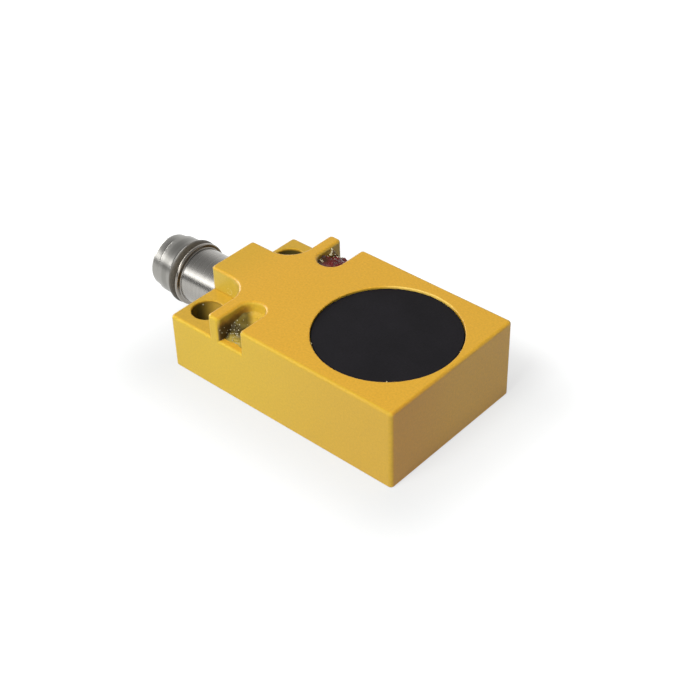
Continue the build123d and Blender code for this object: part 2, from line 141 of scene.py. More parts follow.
# %% World
world = bpy.data.worlds.new("studio")
scene.world = world
world.use_nodes = True
sky = world.node_tree
sky.nodes.clear()
direction = add_node(sky, "ShaderNodeTexCoord")
height = add_node(sky, "ShaderNodeSeparateXYZ")
ramp = add_node(sky, "ShaderNodeValToRGB")
horizon, overhead = ramp.color_ramp.elements
horizon.position, horizon.color = 0.3, (1, 1, 1, 1)
overhead.position, overhead.color = 0.8, (0.3, 0.3, 0.3, 1)
seen = add_node(sky, "ShaderNodeBackground", {"Strength": 1.0})
thrown = add_node(sky, "ShaderNodeBackground", {"Color": (1, 1, 1, 1), "Strength": 0.15})
rays = add_node(sky, "ShaderNodeLightPath").outputs
choose = add_node(sky, "ShaderNodeMixShader")
world_out = add_node(sky, "ShaderNodeOutputWorld")
link(sky, direction.outputs["Generated"], height.inputs[0])
link(sky, height.outputs["Z"], ramp.inputs["Fac"])
link(sky, ramp.outputs["Color"], seen.inputs["Color"])
link(sky, combine(sky, "MAXIMUM", rays["Is Camera Ray"], rays["Is Glossy Ray"],
                  rays["Is Transmission Ray"]), choose.inputs["Fac"])
link(sky, thrown.outputs[0], choose.inputs[1])
link(sky, seen.outputs[0], choose.inputs[2])
link(sky, choose.outputs[0], world_out.inputs["Surface"])
print("world of", len(sky.nodes), "nodes")

# %% [markdown]
# The floor has to be white to the camera and still carry a soft shadow.
# It is a pale matt surface, with a little glow of its own that only the camera and
# reflections see. Where the lamps reach it the sum is white, in the shadow it is grey.
# The glow grows with the distance from the block, which is measured from the edge
# of its footprint, so that a painted shadow lies round it on all sides as a pale halo.

# %% Floor
reach = 3.0
floor_mesh = bpy.data.meshes.new("floor")
floor_mesh.from_pydata(
    [(-reach, -reach, 0), (reach, -reach, 0), (reach, reach, 0), (-reach, reach, 0)],
    [], [(0, 1, 2, 3)],
)
floor = bpy.data.objects.new("floor", floor_mesh)
scene.collection.objects.link(floor)
floor_material = bpy.data.materials.new("paper sweep")
floor_material.use_nodes = True
floor_mesh.materials.append(floor_material)
print("floor of", 2 * reach, "m")

# %% [markdown]
# The distance to a rectangle is a short sum on vectors: take the place from the
# middle of the block, fold it into one quarter, take half the block from it, and
# what is left above zero is the way past the edge. All other rays, such as the
# light that the floor throws back on the sensor, get a plain matt grey.

# %% Painted shadow round the block
paper = floor_material.node_tree
paper.nodes.clear()
block_low, block_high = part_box("housing")
block_middle = (block_low + block_high) / 2
block_half = (block_high - block_low) / 2
past_edge = add_node(paper, "ShaderNodeTexCoord").outputs["Object"]
for operation, other in (
    ("SUBTRACT", (block_middle.x, block_middle.y, 0)), ("ABSOLUTE", (0, 0, 0)),
    ("SUBTRACT", (block_half.x, block_half.y, 0)), ("MAXIMUM", (0, 0, 0)),
):
    sum_step = add_node(paper, "ShaderNodeVectorMath", {1: other}, operation=operation)
    link(paper, past_edge, sum_step.inputs[0])
    past_edge = sum_step.outputs[0]
paper_far = add_node(paper, "ShaderNodeVectorMath", operation="LENGTH")
# Painted shadow: less glow near the block makes the floor greyer round it.
glow_with_painted_shadow = add_node(paper, "ShaderNodeMapRange", {
    "From Min": 0.0, "From Max": 16 * mm, "To Min": 0.7, "To Max": 1.0,
}, interpolation_type="SMOOTHSTEP")
matt = add_node(paper, "ShaderNodeBsdfDiffuse", {"Color": (0.16, 0.165, 0.17, 1)})
glow = add_node(paper, "ShaderNodeEmission", {"Color": (1, 1, 1, 1)})
plain = add_node(paper, "ShaderNodeBsdfDiffuse", {"Color": (0.66, 0.66, 0.66, 1)})
paper_rays = add_node(paper, "ShaderNodeLightPath").outputs
paper_sum = add_node(paper, "ShaderNodeAddShader")
paper_pick = add_node(paper, "ShaderNodeMixShader")
paper_out = add_node(paper, "ShaderNodeOutputMaterial")
link(paper, past_edge, paper_far.inputs[0])
link(paper, paper_far.outputs["Value"], glow_with_painted_shadow.inputs["Value"])
link(paper, glow_with_painted_shadow.outputs["Result"], glow.inputs["Strength"])
link(paper, matt.outputs[0], paper_sum.inputs[0])
link(paper, glow.outputs[0], paper_sum.inputs[1])
link(paper, combine(paper, "MAXIMUM", paper_rays["Is Camera Ray"], paper_rays["Is Glossy Ray"]),
     paper_pick.inputs["Fac"])
link(paper, plain.outputs[0], paper_pick.inputs[1])
link(paper, paper_sum.outputs[0], paper_pick.inputs[2])
link(paper, paper_pick.outputs[0], paper_out.inputs["Surface"])
print("halo round a block of", [round(2 * v / mm, 1) for v in block_half], "mm")

# %% [markdown]
# One large soft lamp stands in front of the near long side, rather high, so the top
# and that side are bright, the sensing end is in shade and the shadow falls behind.
# A second, weaker and warmer one hangs overhead. Neither shows in the steel, which
# would turn them into hard white spots.

# %% Lamps
middle = Vector((10, 0, 5)) * mm


def soft_lamp(name, towards, size, power, colour, distance=0.45):
    data = bpy.data.lights.new(name, "AREA")
    data.shape = "DISK"
    data.size = size
    data.energy = power
    data.color = colour
    lamp = bpy.data.objects.new(name, data)
    away = Vector(towards).normalized()
    lamp.location = middle + away * distance
    lamp.rotation_euler = away.to_track_quat("Z", "Y").to_euler()
    lamp.visible_glossy = False
    scene.collection.objects.link(lamp)
    print(name, "of", power, "W")


soft_lamp("key lamp", (0.0, -0.62, 0.785), 0.18, 2.14, (0.99, 1.0, 0.95))
soft_lamp("top lamp", (0.05, -0.1, 1.0), 0.3, 0.3, (1.0, 0.92, 0.82))

# %% [markdown]
# What gives turned steel its look is what it mirrors. So four cards stand round the
# sensor, which only mirrors see. The bright card draws the white line along the
# barrel and the paler one above it a soft edge. The dark card below draws the black
# line under it, and the card on the left lights the rings and the collar.

# %% Mirror cards
def mirror_card(name, towards, low, high, half_width, distance, level):
    """A glowing card that stands round the sensor. Angles are elevations in degrees."""
    flat = Vector((towards[0], towards[1], 0)).normalized()
    side = Vector((-flat.y, flat.x, 0)) * half_width
    corners = []
    for angle, turn in ((low, -1), (low, 1), (high, 1), (high, -1)):
        rise = math.radians(angle)
        spot = middle + (flat * math.cos(rise) + Vector((0, 0, math.sin(rise)))) * distance
        corners.append(spot + side * turn)
    mesh = bpy.data.meshes.new(name)
    mesh.from_pydata(corners, [], [(0, 1, 2, 3)])
    card = bpy.data.objects.new(name, mesh)
    scene.collection.objects.link(card)
    card.visible_camera = False
    card.visible_diffuse = False
    card.visible_shadow = False
    material = bpy.data.materials.new(name)
    material.use_nodes = True
    material.node_tree.nodes.clear()
    light = add_node(material.node_tree, "ShaderNodeEmission",
                     {"Color": (1, 1, 1, 1), "Strength": level})
    surface = add_node(material.node_tree, "ShaderNodeOutputMaterial")
    link(material.node_tree, light.outputs[0], surface.inputs["Surface"])
    mesh.materials.append(material)
    print(name, "from", low, "to", high, "degrees")


mirror_card("bright_card", (-0.53, -0.75), 18, 27, 0.3, 0.6, 4.0)
mirror_card("white_card", (-0.53, -0.75), 27, 36, 0.3, 0.6, 2.2)
mirror_card("dark_card", (-0.53, -0.75), 1, 16, 0.4, 0.55, 0.02)
mirror_card("left_card", (-1.0, -0.05), 4, 26, 0.26, 0.6, 8.0)

# %% [markdown]
# Some effects come back in many finishes, so each is a node group with named
# sockets, built once. The first is "fine grain": a noise with a set contrast.
# It tints, roughens and bumps paint, plastic, rubber and resin alike.

# %% Fine grain group
def new_group(name, inputs, outputs):
    group = bpy.data.node_groups.new(name, "ShaderNodeTree")
    for socket_name, kind, value in inputs:
        socket = group.interface.new_socket(socket_name, in_out="INPUT", socket_type=kind)
        if value is not None:
            socket.default_value = value
    for socket_name, kind in outputs:
        group.interface.new_socket(socket_name, in_out="OUTPUT", socket_type=kind)
    return group, add_node(group, "NodeGroupInput"), add_node(group, "NodeGroupOutput")


fine_grain, grain_in, grain_out = new_group(
    "fine grain",
    [("Place", "NodeSocketVector", None), ("Size", "NodeSocketFloat", 1000.0),
     ("Low", "NodeSocketFloat", 0.3), ("High", "NodeSocketFloat", 0.7)],
    [("Mask", "NodeSocketFloat")],
)
grain_noise = add_node(fine_grain, "ShaderNodeTexNoise", {"Detail": 3.0, "Roughness": 0.6})
grain_range = add_node(fine_grain, "ShaderNodeMapRange")
link(fine_grain, grain_in.outputs["Place"], grain_noise.inputs["Vector"])
link(fine_grain, grain_in.outputs["Size"], grain_noise.inputs["Scale"])
link(fine_grain, grain_noise.outputs["Fac"], grain_range.inputs["Value"])
link(fine_grain, grain_in.outputs["Low"], grain_range.inputs["From Min"])
link(fine_grain, grain_in.outputs["High"], grain_range.inputs["From Max"])
link(fine_grain, grain_range.outputs["Result"], grain_out.inputs["Mask"])
print("group", fine_grain.name)

# %% [markdown]
# "Turning marks" are the rings that a lathe tool leaves round the X axis: bands
# that depend on X alone, broken up by a noise that is stretched round the axis.

# %% Turning marks group
turning_marks, turn_in, turn_out = new_group(
    "turning marks",
    [("Place", "NodeSocketVector", None), ("Rings per Metre", "NodeSocketFloat", 9000.0)],
    [("Rings", "NodeSocketFloat"), ("Streaks", "NodeSocketFloat")],
)
turn_split = add_node(turning_marks, "ShaderNodeSeparateXYZ")
turn_scale = add_node(turning_marks, "ShaderNodeMath", operation="MULTIPLY")
turn_line = add_node(turning_marks, "ShaderNodeTexNoise", {"Scale": 1.0, "Detail": 2.0},
                     noise_dimensions="1D")
turn_map = add_node(turning_marks, "ShaderNodeMapping", {"Scale": (2200, 120, 120)})
turn_noise = add_node(turning_marks, "ShaderNodeTexNoise", {"Scale": 1.0, "Detail": 2.0})
link(turning_marks, turn_in.outputs["Place"], turn_split.inputs[0])
link(turning_marks, turn_split.outputs["X"], turn_scale.inputs[0])
link(turning_marks, turn_in.outputs["Rings per Metre"], turn_scale.inputs[1])
link(turning_marks, turn_scale.outputs[0], turn_line.inputs["W"])
link(turning_marks, turn_in.outputs["Place"], turn_map.inputs["Vector"])
link(turning_marks, turn_map.outputs["Vector"], turn_noise.inputs["Vector"])
link(turning_marks, turn_line.outputs["Fac"], turn_out.inputs["Rings"])
link(turning_marks, turn_noise.outputs["Fac"], turn_out.inputs["Streaks"])
print("group", turning_marks.name)

# %% [markdown]
# "Flecks" come last in a colour: they darken and lighten whatever tone lies below
# by a mask, by up to a share either way. Laid over all other tones, they keep
# the speckle of a finish even where stains change its colour.

# %% Flecks group
flecks, flecks_in, flecks_out = new_group(
    "flecks",
    [("Tone", "NodeSocketColor", None), ("Mask", "NodeSocketFloat", None),
     ("Share", "NodeSocketFloat", 0.1)],
    [("Tone", "NodeSocketColor")],
)
fleck_span = add_node(flecks, "ShaderNodeMapRange")
fleck_mix = add_node(flecks, "ShaderNodeMix", {"Factor": 1.0}, data_type="RGBA",
                     blend_type="MULTIPLY")
share_of = flecks_in.outputs["Share"]
link(flecks, flecks_in.outputs["Mask"], fleck_span.inputs["Value"])
link(flecks, combine(flecks, "SUBTRACT", 1.0, share_of), fleck_span.inputs["To Min"])
link(flecks, combine(flecks, "ADD", 1.0, share_of), fleck_span.inputs["To Max"])
link(flecks, flecks_in.outputs["Tone"], fleck_mix.inputs["A"])
link(flecks, fleck_span.outputs["Result"], fleck_mix.inputs["B"])
link(flecks, fleck_mix.outputs["Result"], flecks_out.inputs["Tone"])
print("group", flecks.name)

# %% [markdown]
# A finish is the same few steps each time: place a group, mix two colours by its
# mask, let the mask change the gloss, and let it bump the surface a little. Each
# step is a function. The numbers that a finish needs then fit on a few lines.

# %% Finish helpers
def use_group(tree, group, place, **inputs):
    node = add_node(tree, "ShaderNodeGroup", node_tree=group)
    link(tree, place, node.inputs["Place"])
    for name, value in inputs.items():
        node.inputs[name.replace("_", " ")].default_value = value
    return node


def tint(tree, mask, low, high, shader):
    """Mixes two colours by a mask into the shader's base colour."""
    mix = add_node(tree, "ShaderNodeMix", {"A": (*low, 1), "B": (*high, 1)}, data_type="RGBA")
    link(tree, mask, mix.inputs["Factor"])
    link(tree, mix.outputs["Result"], shader.inputs["Base Color"])
    return mix.outputs["Result"]


def gloss(tree, mask, smooth, rough, shader):
    """Maps a mask to the range of the shader's roughness."""
    span = add_node(tree, "ShaderNodeMapRange", {"To Min": smooth, "To Max": rough})
    link(tree, mask, span.inputs["Value"])
    link(tree, span.outputs["Result"], shader.inputs["Roughness"])
    return span.outputs["Result"]


def relief(tree, mask, depth, strength, shader, below=None):
    """Bumps the surface by a mask. Depth is in metres."""
    bump = add_node(tree, "ShaderNodeBump", {"Distance": depth, "Strength": strength})
    link(tree, mask, bump.inputs["Height"])
    if below:
        link(tree, below.outputs["Normal"], bump.inputs["Normal"])
    link(tree, bump.outputs["Normal"], shader.inputs["Normal"])
    return bump


print("finish helpers: use_group, tint, gloss, relief")

# %% [markdown]
# Stains, a tool mark, painted light and painted shade sit at known places. Such a mask
# needs no image: it is a product of smooth steps along X, Y and Z, or along the distance
# from an axis. A colour is then laid over the one below wherever the mask is 1.

# %% Mask helpers
def steps_of(tree, place):
    """Returns the X, Y, Z sockets of a place and a maker of smooth steps on them."""
    parts = add_node(tree, "ShaderNodeSeparateXYZ")
    link(tree, place, parts.inputs[0])

    def step(value, start, end):
        """0 at start and 1 at end, both in mm."""
        low, high = min(start, end), max(start, end)
        node = add_node(tree, "ShaderNodeMapRange", {
            "From Min": low * mm, "From Max": high * mm,
            "To Min": float(start > end), "To Max": float(start < end),
        }, interpolation_type="SMOOTHSTEP")
        link(tree, value, node.inputs["Value"])
        return node.outputs["Result"]

    return parts.outputs["X"], parts.outputs["Y"], parts.outputs["Z"], step


def distance_from(tree, first, second):
    """Distance in a plane, from its two parts."""
    squares = [combine(tree, "MULTIPLY", part, part) for part in (first, second)]
    return combine(tree, "POWER", combine(tree, "ADD", *squares), 0.5)


def blend(tree, below, mask, colour):
    """Lays a colour over another one where the mask is 1."""
    mix = add_node(tree, "ShaderNodeMix", {"B": (*colour, 1)}, data_type="RGBA")
    link(tree, below, mix.inputs["A"])
    link(tree, mask, mix.inputs["Factor"])
    return mix.outputs["Result"]


def flecked(tree, tone, mask, share):
    """Lays the flecks over a finished tone."""
    node = add_node(tree, "ShaderNodeGroup", {"Share": share}, node_tree=flecks)
    link(tree, tone, node.inputs["Tone"])
    link(tree, mask, node.inputs["Mask"])
    return node.outputs["Tone"]


print("mask helpers: steps_of, distance_from, blend, flecked")

# %% [markdown]
# The housing is zinc, cast in a steel mould and then painted. Such paint is satin:
# it has a fine speckle in its colour, slow patches where it lies thicker, and a
# slight orange-peel skin. Three noises of different size give those three things.

# %% Yellow paint
paint, paint_tree, paint_shader, paint_place = new_material("satin yellow paint")
speckle = use_group(paint_tree, fine_grain, paint_place, Size=4200.0, Low=0.25, High=0.75)
patches = use_group(paint_tree, fine_grain, paint_place, Size=160.0, Low=0.35, High=0.65)
peel = use_group(paint_tree, fine_grain, paint_place, Size=1300.0, Low=0.2, High=0.8)
paint_shader.inputs["Specular IOR Level"].default_value = 0.28
gloss(paint_tree, speckle.outputs["Mask"], 0.28, 0.38, paint_shader)
coarse = relief(paint_tree, peel.outputs["Mask"], 0.03 * mm, 0.12, paint_shader)
relief(paint_tree, speckle.outputs["Mask"], 0.006 * mm, 0.12, paint_shader, coarse)
print("paint with three noises")

# %% [markdown]
# The paint isn't one colour all over. The long sides and the walls of the recesses
# get a greener painted sheen, for the pale light that they catch from the side, and a
# painted shade turns the sides warmer and darker towards the sensing end. The tops of
# the lugs are a little darker; a painted shade darkens the top of the neck and the near
# part of the sensing end.

# %% Painted sheen and shade on the paint
half_width, body_top, lug_top = 10.0, 10.0, 7.0
front_end, rear_end = 29.5, -2.5
along, across_y, up_z, step = steps_of(paint_tree, paint_place)
beside = add_node(paint_tree, "ShaderNodeMath", operation="ABSOLUTE")
link(paint_tree, across_y, beside.inputs[0])
out_y = beside.outputs[0]

# Painted sheen: a greener tone on the long sides.
sides_painted_sheen = step(out_y, half_width - 0.4, half_width - 0.05)
# Painted shade: the long sides turn warmer and darker towards the sensing end.
side_front_painted_shade = combine(paint_tree, "MULTIPLY", sides_painted_sheen, step(along, 2.0, 28.0))
# Painted sheen: a greener tone on the walls of the recesses.
recess_walls_painted_sheen = combine(
    paint_tree, "MULTIPLY", step(up_z, lug_top, lug_top + 0.3),
    step(up_z, body_top - 0.05, body_top - 0.4), step(out_y, half_width - 0.05, half_width - 0.3),
    step(along, 20.0, 18.0), step(along, rear_end + 0.05, rear_end + 0.25))
lug_tops = combine(
    paint_tree, "MULTIPLY", step(up_z, lug_top - 0.15, lug_top - 0.03),
    step(up_z, lug_top + 0.2, lug_top + 0.05), step(out_y, half_width - 0.2, half_width - 0.4),
    step(along, 5.0, 4.6))
# Painted shade: the top of the neck is darker.
neck_top_painted_shade = combine(paint_tree, "MULTIPLY", step(up_z, body_top - 0.2, body_top - 0.03),
                   step(along, 4.0, -2.0), 0.8)
# Painted shade: the sensing end is darker towards the near side.
end_painted_shade = combine(paint_tree, "MULTIPLY", step(along, front_end - 0.3, front_end - 0.05),
                    step(across_y, 3.0, -9.0), 0.8)
# These masks are painted sheen and painted shade, apart from the lug tops.
print("five coats")

# %% [markdown]
# The screw bores are dark with a painted shade, as little light gets into them, apart
# from a painted light on the side that the lamp reaches. Both bores stand at the same
# distance from the middle, so one mask on the distance from a bore's axis serves the two.

# %% Screw bores
bore_y = 6.7
bore_offset = combine(paint_tree, "SUBTRACT", out_y, bore_y * mm)
bore_distance = distance_from(paint_tree, along, bore_offset)
# Painted shade inside the bores.
bores = combine(paint_tree, "MULTIPLY", step(bore_distance, 2.0, 1.85),
                step(up_z, lug_top - 0.05, lug_top - 0.4))
bore_turn = combine(paint_tree, "SUBTRACT", combine(paint_tree, "MULTIPLY", along, 0.74),
                    combine(paint_tree, "MULTIPLY", bore_offset, 0.67))
# Painted light on the side of the bores that the lamp reaches.
bore_painted_light = combine(paint_tree, "MULTIPLY", bores, step(bore_turn, -1.2, 1.1),
                   step(up_z, 1.0, 5.5))
print("bores at", bore_y, "mm from the middle")

# %% [markdown]
# The lamp slots are stained by the resin that was poured into them. The same tones
# also lay a painted shade on the rib's wall, which faces away from the lamp, darkest in
# the corner and near the lip. The stain climbs the rib's wall with a ragged edge, so the
# height that it reads is shifted by noise. It is strong on the near side, where the resin
# is clear, and weak on the far one. A painted light brightens the inner end of each slot.

# %% Stains, painted shade and painted light in the slots
in_slot = combine(paint_tree, "MULTIPLY", step(along, 5.0, 5.25), step(along, 8.6, 8.4),
                  step(out_y, 4.6, 4.85), step(up_z, lug_top - 0.01, lug_top + 0.12))
ragged = use_group(paint_tree, fine_grain, paint_place, Size=800.0, Low=0.3, High=0.7)
ragged_z = combine(paint_tree, "ADD", up_z, combine(
    paint_tree, "MULTIPLY", ragged.outputs["Mask"], 0.7 * mm))
on_rib = combine(paint_tree, "MULTIPLY", in_slot, step(along, 6.7, 5.6), step(out_y, 5.0, 5.8))
# Painted light: the inner end of the slot, which faces the lamp, is brighter.
slot_painted_light = combine(paint_tree, "MULTIPLY", in_slot, step(up_z, body_top - 0.05, body_top - 0.3),
                    step(out_y, 7.6, 6.6))
near_side = step(across_y, 0.5, -0.5)
stain_and_shade_share = combine(paint_tree, "ADD", combine(paint_tree, "MULTIPLY", near_side, 0.7), 0.3)
# Resin stain and painted shade on the rib's wall, in three depths.
slot_stain_and_shade = combine(paint_tree, "MULTIPLY", on_rib, step(ragged_z, 10.3, 9.4), stain_and_shade_share)
deep_stain_and_shade = combine(paint_tree, "MULTIPLY", on_rib, step(ragged_z, 9.9, 8.8),
                     step(out_y, 5.4, 7.2), near_side, 0.85)
lip_stain_and_shade = combine(paint_tree, "MULTIPLY", on_rib, step(ragged_z, 9.7, 8.5),
                    step(out_y, 7.3, 8.5), near_side, 0.85)
# The stains hold painted shade too, and the glow is a painted light.
print("three stains and a glow in the slots")

# %% [markdown]
# Tools leave a small trace: a few faint arcs on the near wall of the neck, where an
# ejector pin pushed the casting out of its mould. The thin bright rim at the far side of
# the sensing face is a painted highlight, where the edge of the seat catches the light.

# %% Ejector trace and painted rim highlight
mark_x, mark_z, mark_pitch = 0.2, 7.7, 0.3
mark_distance = distance_from(paint_tree, combine(paint_tree, "SUBTRACT", along, mark_x * mm),
                              combine(paint_tree, "SUBTRACT", up_z, mark_z * mm))
mark_wave = add_node(paint_tree, "ShaderNodeMath", operation="SINE")
link(paint_tree, combine(paint_tree, "MULTIPLY", mark_distance, 2 * math.pi / (mark_pitch * mm)),
     mark_wave.inputs[0])
mark_gaps = use_group(paint_tree, fine_grain, paint_place, Size=2600.0, Low=0.45, High=0.6)
pin_mark = combine(paint_tree, "MULTIPLY",
                   combine(paint_tree, "MAXIMUM", mark_wave.outputs[0], 0.0),
                   mark_gaps.outputs["Mask"],
                   step(mark_distance, 0.6, 0.35), step(across_y, -3.1, -3.25), 0.6)
face_centre = 20.6
seat_x = combine(paint_tree, "SUBTRACT", along, face_centre * mm)
seat_distance = distance_from(paint_tree, seat_x, across_y)
rim_turn = combine(paint_tree, "ADD", across_y, combine(paint_tree, "MULTIPLY", seat_x, -0.17))
# Painted highlight on the far edge of the seat round the sensing face.
rim_painted_highlight = combine(paint_tree, "MULTIPLY", step(seat_distance, 8.36, 8.28),
                  step(up_z, 9.6, 9.75), step(rim_turn, 6.6, 8.0), 0.85)
print("pin mark at", (mark_x, mark_z), "and rim round", face_centre)

# %% [markdown]
# The base tone comes first: the speckle mixes two yellows, and slow patches shift
# them a little. The masks then lay the other tones over it, one after another,
# and the flecks go over them all.

# %% Tones of the paint
tone = tint(paint_tree, speckle.outputs["Mask"], (0.65, 0.355, 0.03), (0.68, 0.37, 0.032),
            paint_shader)
patch_share = combine(paint_tree, "MULTIPLY", patches.outputs["Mask"], 0.5)
# Several of these tones are painted sheen, painted shade and painted light; the others are the
# paint's own tones, resin stains and a tool mark.
paint_tones = [
    (patch_share, (0.66, 0.365, 0.036)),
    (neck_top_painted_shade, (0.585, 0.345, 0.028)),
    (end_painted_shade, (0.59, 0.285, 0.028)),
    (sides_painted_sheen, (0.625, 0.415, 0.031)),
    (side_front_painted_shade, (0.575, 0.35, 0.034)),
    (lug_tops, (0.56, 0.337, 0.032)),
    (recess_walls_painted_sheen, (0.63, 0.45, 0.055)),
    (bores, (0.09, 0.07, 0.018)),
    (bore_painted_light, (0.58, 0.365, 0.055)),
    (slot_painted_light, (0.68, 0.46, 0.05)),
    (slot_stain_and_shade, (0.45, 0.25, 0.04)),
    (deep_stain_and_shade, (0.17, 0.11, 0.028)),
    (lip_stain_and_shade, (0.055, 0.032, 0.01)),
    (pin_mark, (0.85, 0.75, 0.36)),
    (rim_painted_highlight, (0.9, 0.62, 0.14)),
]
for mask, colour in paint_tones:
    tone = blend(paint_tree, tone, mask, colour)
link(paint_tree, flecked(paint_tree, tone, speckle.outputs["Mask"], 0.09),
     paint_shader.inputs["Base Color"])
print("paint of", len(paint_tones), "tones over the base")

# %% [markdown]
# The sensing face is black moulded plastic. Its skin is a fine even grain that keeps
# it matt, slow clouds lighten it here and there, and a painted shade makes its edge quite black.

# %% Black face plastic
face_plastic, face_tree, face_shader, face_place = new_material("grained black plastic")
face_grain = use_group(face_tree, fine_grain, face_place, Size=5200.0, Low=0.3, High=0.7)
face_cloud = use_group(face_tree, fine_grain, face_place, Size=240.0, Low=0.3, High=0.75)
face_tone = tint(face_tree, face_cloud.outputs["Mask"], (0.0068, 0.0062, 0.008),
                 (0.0102, 0.0092, 0.012), face_shader)
face_x, face_y, _, face_step = steps_of(face_tree, face_place)
face_radius = distance_from(
    face_tree, combine(face_tree, "SUBTRACT", face_x, face_centre * mm), face_y)
# Painted shade: the edge of the face, where it meets the housing, is made quite black.
face_tone = blend(face_tree, face_tone, face_step(face_radius, 7.98, 8.08), (0.002, 0.002, 0.002))
link(face_tree, flecked(face_tree, face_tone, face_grain.outputs["Mask"], 0.5),
     face_shader.inputs["Base Color"])
gloss(face_tree, face_grain.outputs["Mask"], 0.62, 0.78, face_shader)
relief(face_tree, face_grain.outputs["Mask"], 0.012 * mm, 0.5, face_shader)
face_shader.inputs["Specular IOR Level"].default_value = 0.12
print("face plastic with a black edge")

# %% [markdown]
# The barrel is stainless steel, turned on a lathe. Rings round the axis catch the
# light as fine lines, and a slightly warm grey keeps it from looking chromed.
# The plug end is rougher, and a painted shade darkens its steel and a band on it, so that
# they mirror darker. The steel ring is darker and browner, and a painted shade darkens its face
# towards the top.

# %% Turned steel
steel, steel_tree, steel_shader, steel_place = new_material("turned stainless steel")
steel_marks = use_group(steel_tree, turning_marks, steel_place, Rings_per_Metre=14000.0)
steel_x, steel_y, steel_z, steel_step = steps_of(steel_tree, steel_place)
axis_height = 4.4
ring_front, ring_rear = -8.25, -8.72
steel_radius = distance_from(
    steel_tree, steel_y, combine(steel_tree, "SUBTRACT", steel_z, axis_height * mm))
# Painted shade: the plug end's steel is darkened; its extra roughness is real.
plug_end = combine(steel_tree, "MULTIPLY", steel_step(steel_x, -9.9, -10.0), 0.6)
# Painted shade: a darker band on the plug end.
band_painted_shade = combine(steel_tree, "MULTIPLY", steel_step(steel_x, -11.5, -11.15),
                    steel_step(steel_x, -10.35, -10.65), 0.5)
dull_ring = combine(steel_tree, "MULTIPLY", steel_step(steel_x, ring_rear - 0.08, ring_rear + 0.02),
                    steel_step(steel_x, ring_front + 0.05, ring_front - 0.03), 0.75)
# Painted shade: the ring's face is darker towards the top.
ring_face_painted_shade = combine(steel_tree, "MULTIPLY", steel_step(steel_radius, 3.42, 3.46),
                    steel_step(steel_x, ring_front - 0.05, ring_front - 0.02),
                    steel_step(steel_z, 3.5, 7.5), 0.8)
steel_tone = tint(steel_tree, steel_marks.outputs["Streaks"], (0.33, 0.317, 0.295),
                  (0.44, 0.427, 0.40), steel_shader)
for mask, colour in ((plug_end, (0.3, 0.295, 0.275)), (band_painted_shade, (0.2, 0.195, 0.18)),
                     (dull_ring, (0.28, 0.25, 0.215)), (ring_face_painted_shade, (0.15, 0.135, 0.115))):
    steel_tone = blend(steel_tree, steel_tone, mask, colour)
link(steel_tree, steel_tone, steel_shader.inputs["Base Color"])
steel_shader.inputs["Metallic"].default_value = 1.0
steel_gloss = gloss(steel_tree, steel_marks.outputs["Rings"], 0.19, 0.31, steel_shader)
link(steel_tree, combine(steel_tree, "ADD", steel_gloss,
                         combine(steel_tree, "MULTIPLY", plug_end, 0.12)),
     steel_shader.inputs["Roughness"])
relief(steel_tree, steel_marks.outputs["Rings"], 0.004 * mm, 0.5, steel_shader)
# Three of these four places are painted shade: the plug end, its band and the ring's face.
print("steel with four worn places")

# %% [markdown]
# A turned part is one outline spun round an axis, and that is a rule which Geometry
# Nodes can follow. The corners of the outline are rounded first, so that each edge
# catches light. A corner becomes a small arc between two points on its sides.

# %% Outline helper
def rounded_outline(corners, steps=5):
    """corners holds (along, radius, rounding) in mm; each corner becomes an arc of its rounding."""
    line = []
    count = len(corners)
    for i, (x, r, rounding) in enumerate(corners):
        here = Vector((x, r))
        if rounding == 0:
            line.append(here)
            continue
        before = Vector(corners[i - 1][:2]) - here
        after = Vector(corners[(i + 1) % count][:2]) - here
        reach_in = min(rounding, before.length * 0.49, after.length * 0.49)
        start = here + before.normalized() * reach_in
        end = here + after.normalized() * reach_in
        for k in range(steps + 1):
            t = k / steps
            line.append(start * (1 - t) ** 2 + here * 2 * t * (1 - t) + end * t ** 2)
    return line


print("outline helper: rounded_outline")

# %% [markdown]
# Two trees are built here, and each starts the same way: named inputs for what may
# change, and one mesh out. A modifier knows its inputs by an identifier, not by
# their names, so the function hands back both.

# %% Tree helper
def new_tree(name, inputs):
    """Starts a Geometry Nodes tree and returns it with its ends and socket identifiers."""
    tree = bpy.data.node_groups.new(name, "GeometryNodeTree")
    identifiers = {}
    for socket_name, kind in inputs:
        made = tree.interface.new_socket(socket_name, in_out="INPUT", socket_type=kind)
        identifiers[socket_name] = made.identifier
    tree.interface.new_socket("Mesh", in_out="OUTPUT", socket_type="NodeSocketGeometry")
    return (tree, add_node(tree, "NodeGroupInput"), add_node(tree, "NodeGroupOutput"),
            identifiers)


print("tree helper: new_tree")

# %% [markdown]
# The first tree spins. A flat grid has one row for each point of the outline and one
# column for each step round the axis. Every grid point looks up its outline point
# and is set round the axis at its own angle. The seam then closes by merging.

# %% Spinning tree
spin, spin_in, spin_out, spin_sockets = new_tree("spin an outline", (
    ("Outline", "NodeSocketGeometry"), ("Points", "NodeSocketInt"),
    ("Steps Round", "NodeSocketInt"), ("Axis Height", "NodeSocketFloat"),
    ("Finish", "NodeSocketMaterial"),
))
columns = add_node(spin, "ShaderNodeMath", {1: 1.0}, operation="ADD")
grid = add_node(spin, "GeometryNodeMeshGrid", {"Size X": 1.0, "Size Y": 1.0})
where = add_node(spin, "GeometryNodeInputPosition")
split = add_node(spin, "ShaderNodeSeparateXYZ")
last_row = add_node(spin, "ShaderNodeMath", {1: 1.0}, operation="SUBTRACT")
whole_row = add_node(spin, "ShaderNodeMath", operation="ROUND")
angle = add_node(spin, "ShaderNodeMath", {1: 2 * math.pi}, operation="MULTIPLY")
outline_place = add_node(spin, "GeometryNodeInputPosition")
look_up = add_node(spin, "GeometryNodeSampleIndex", data_type="FLOAT_VECTOR", domain="POINT")
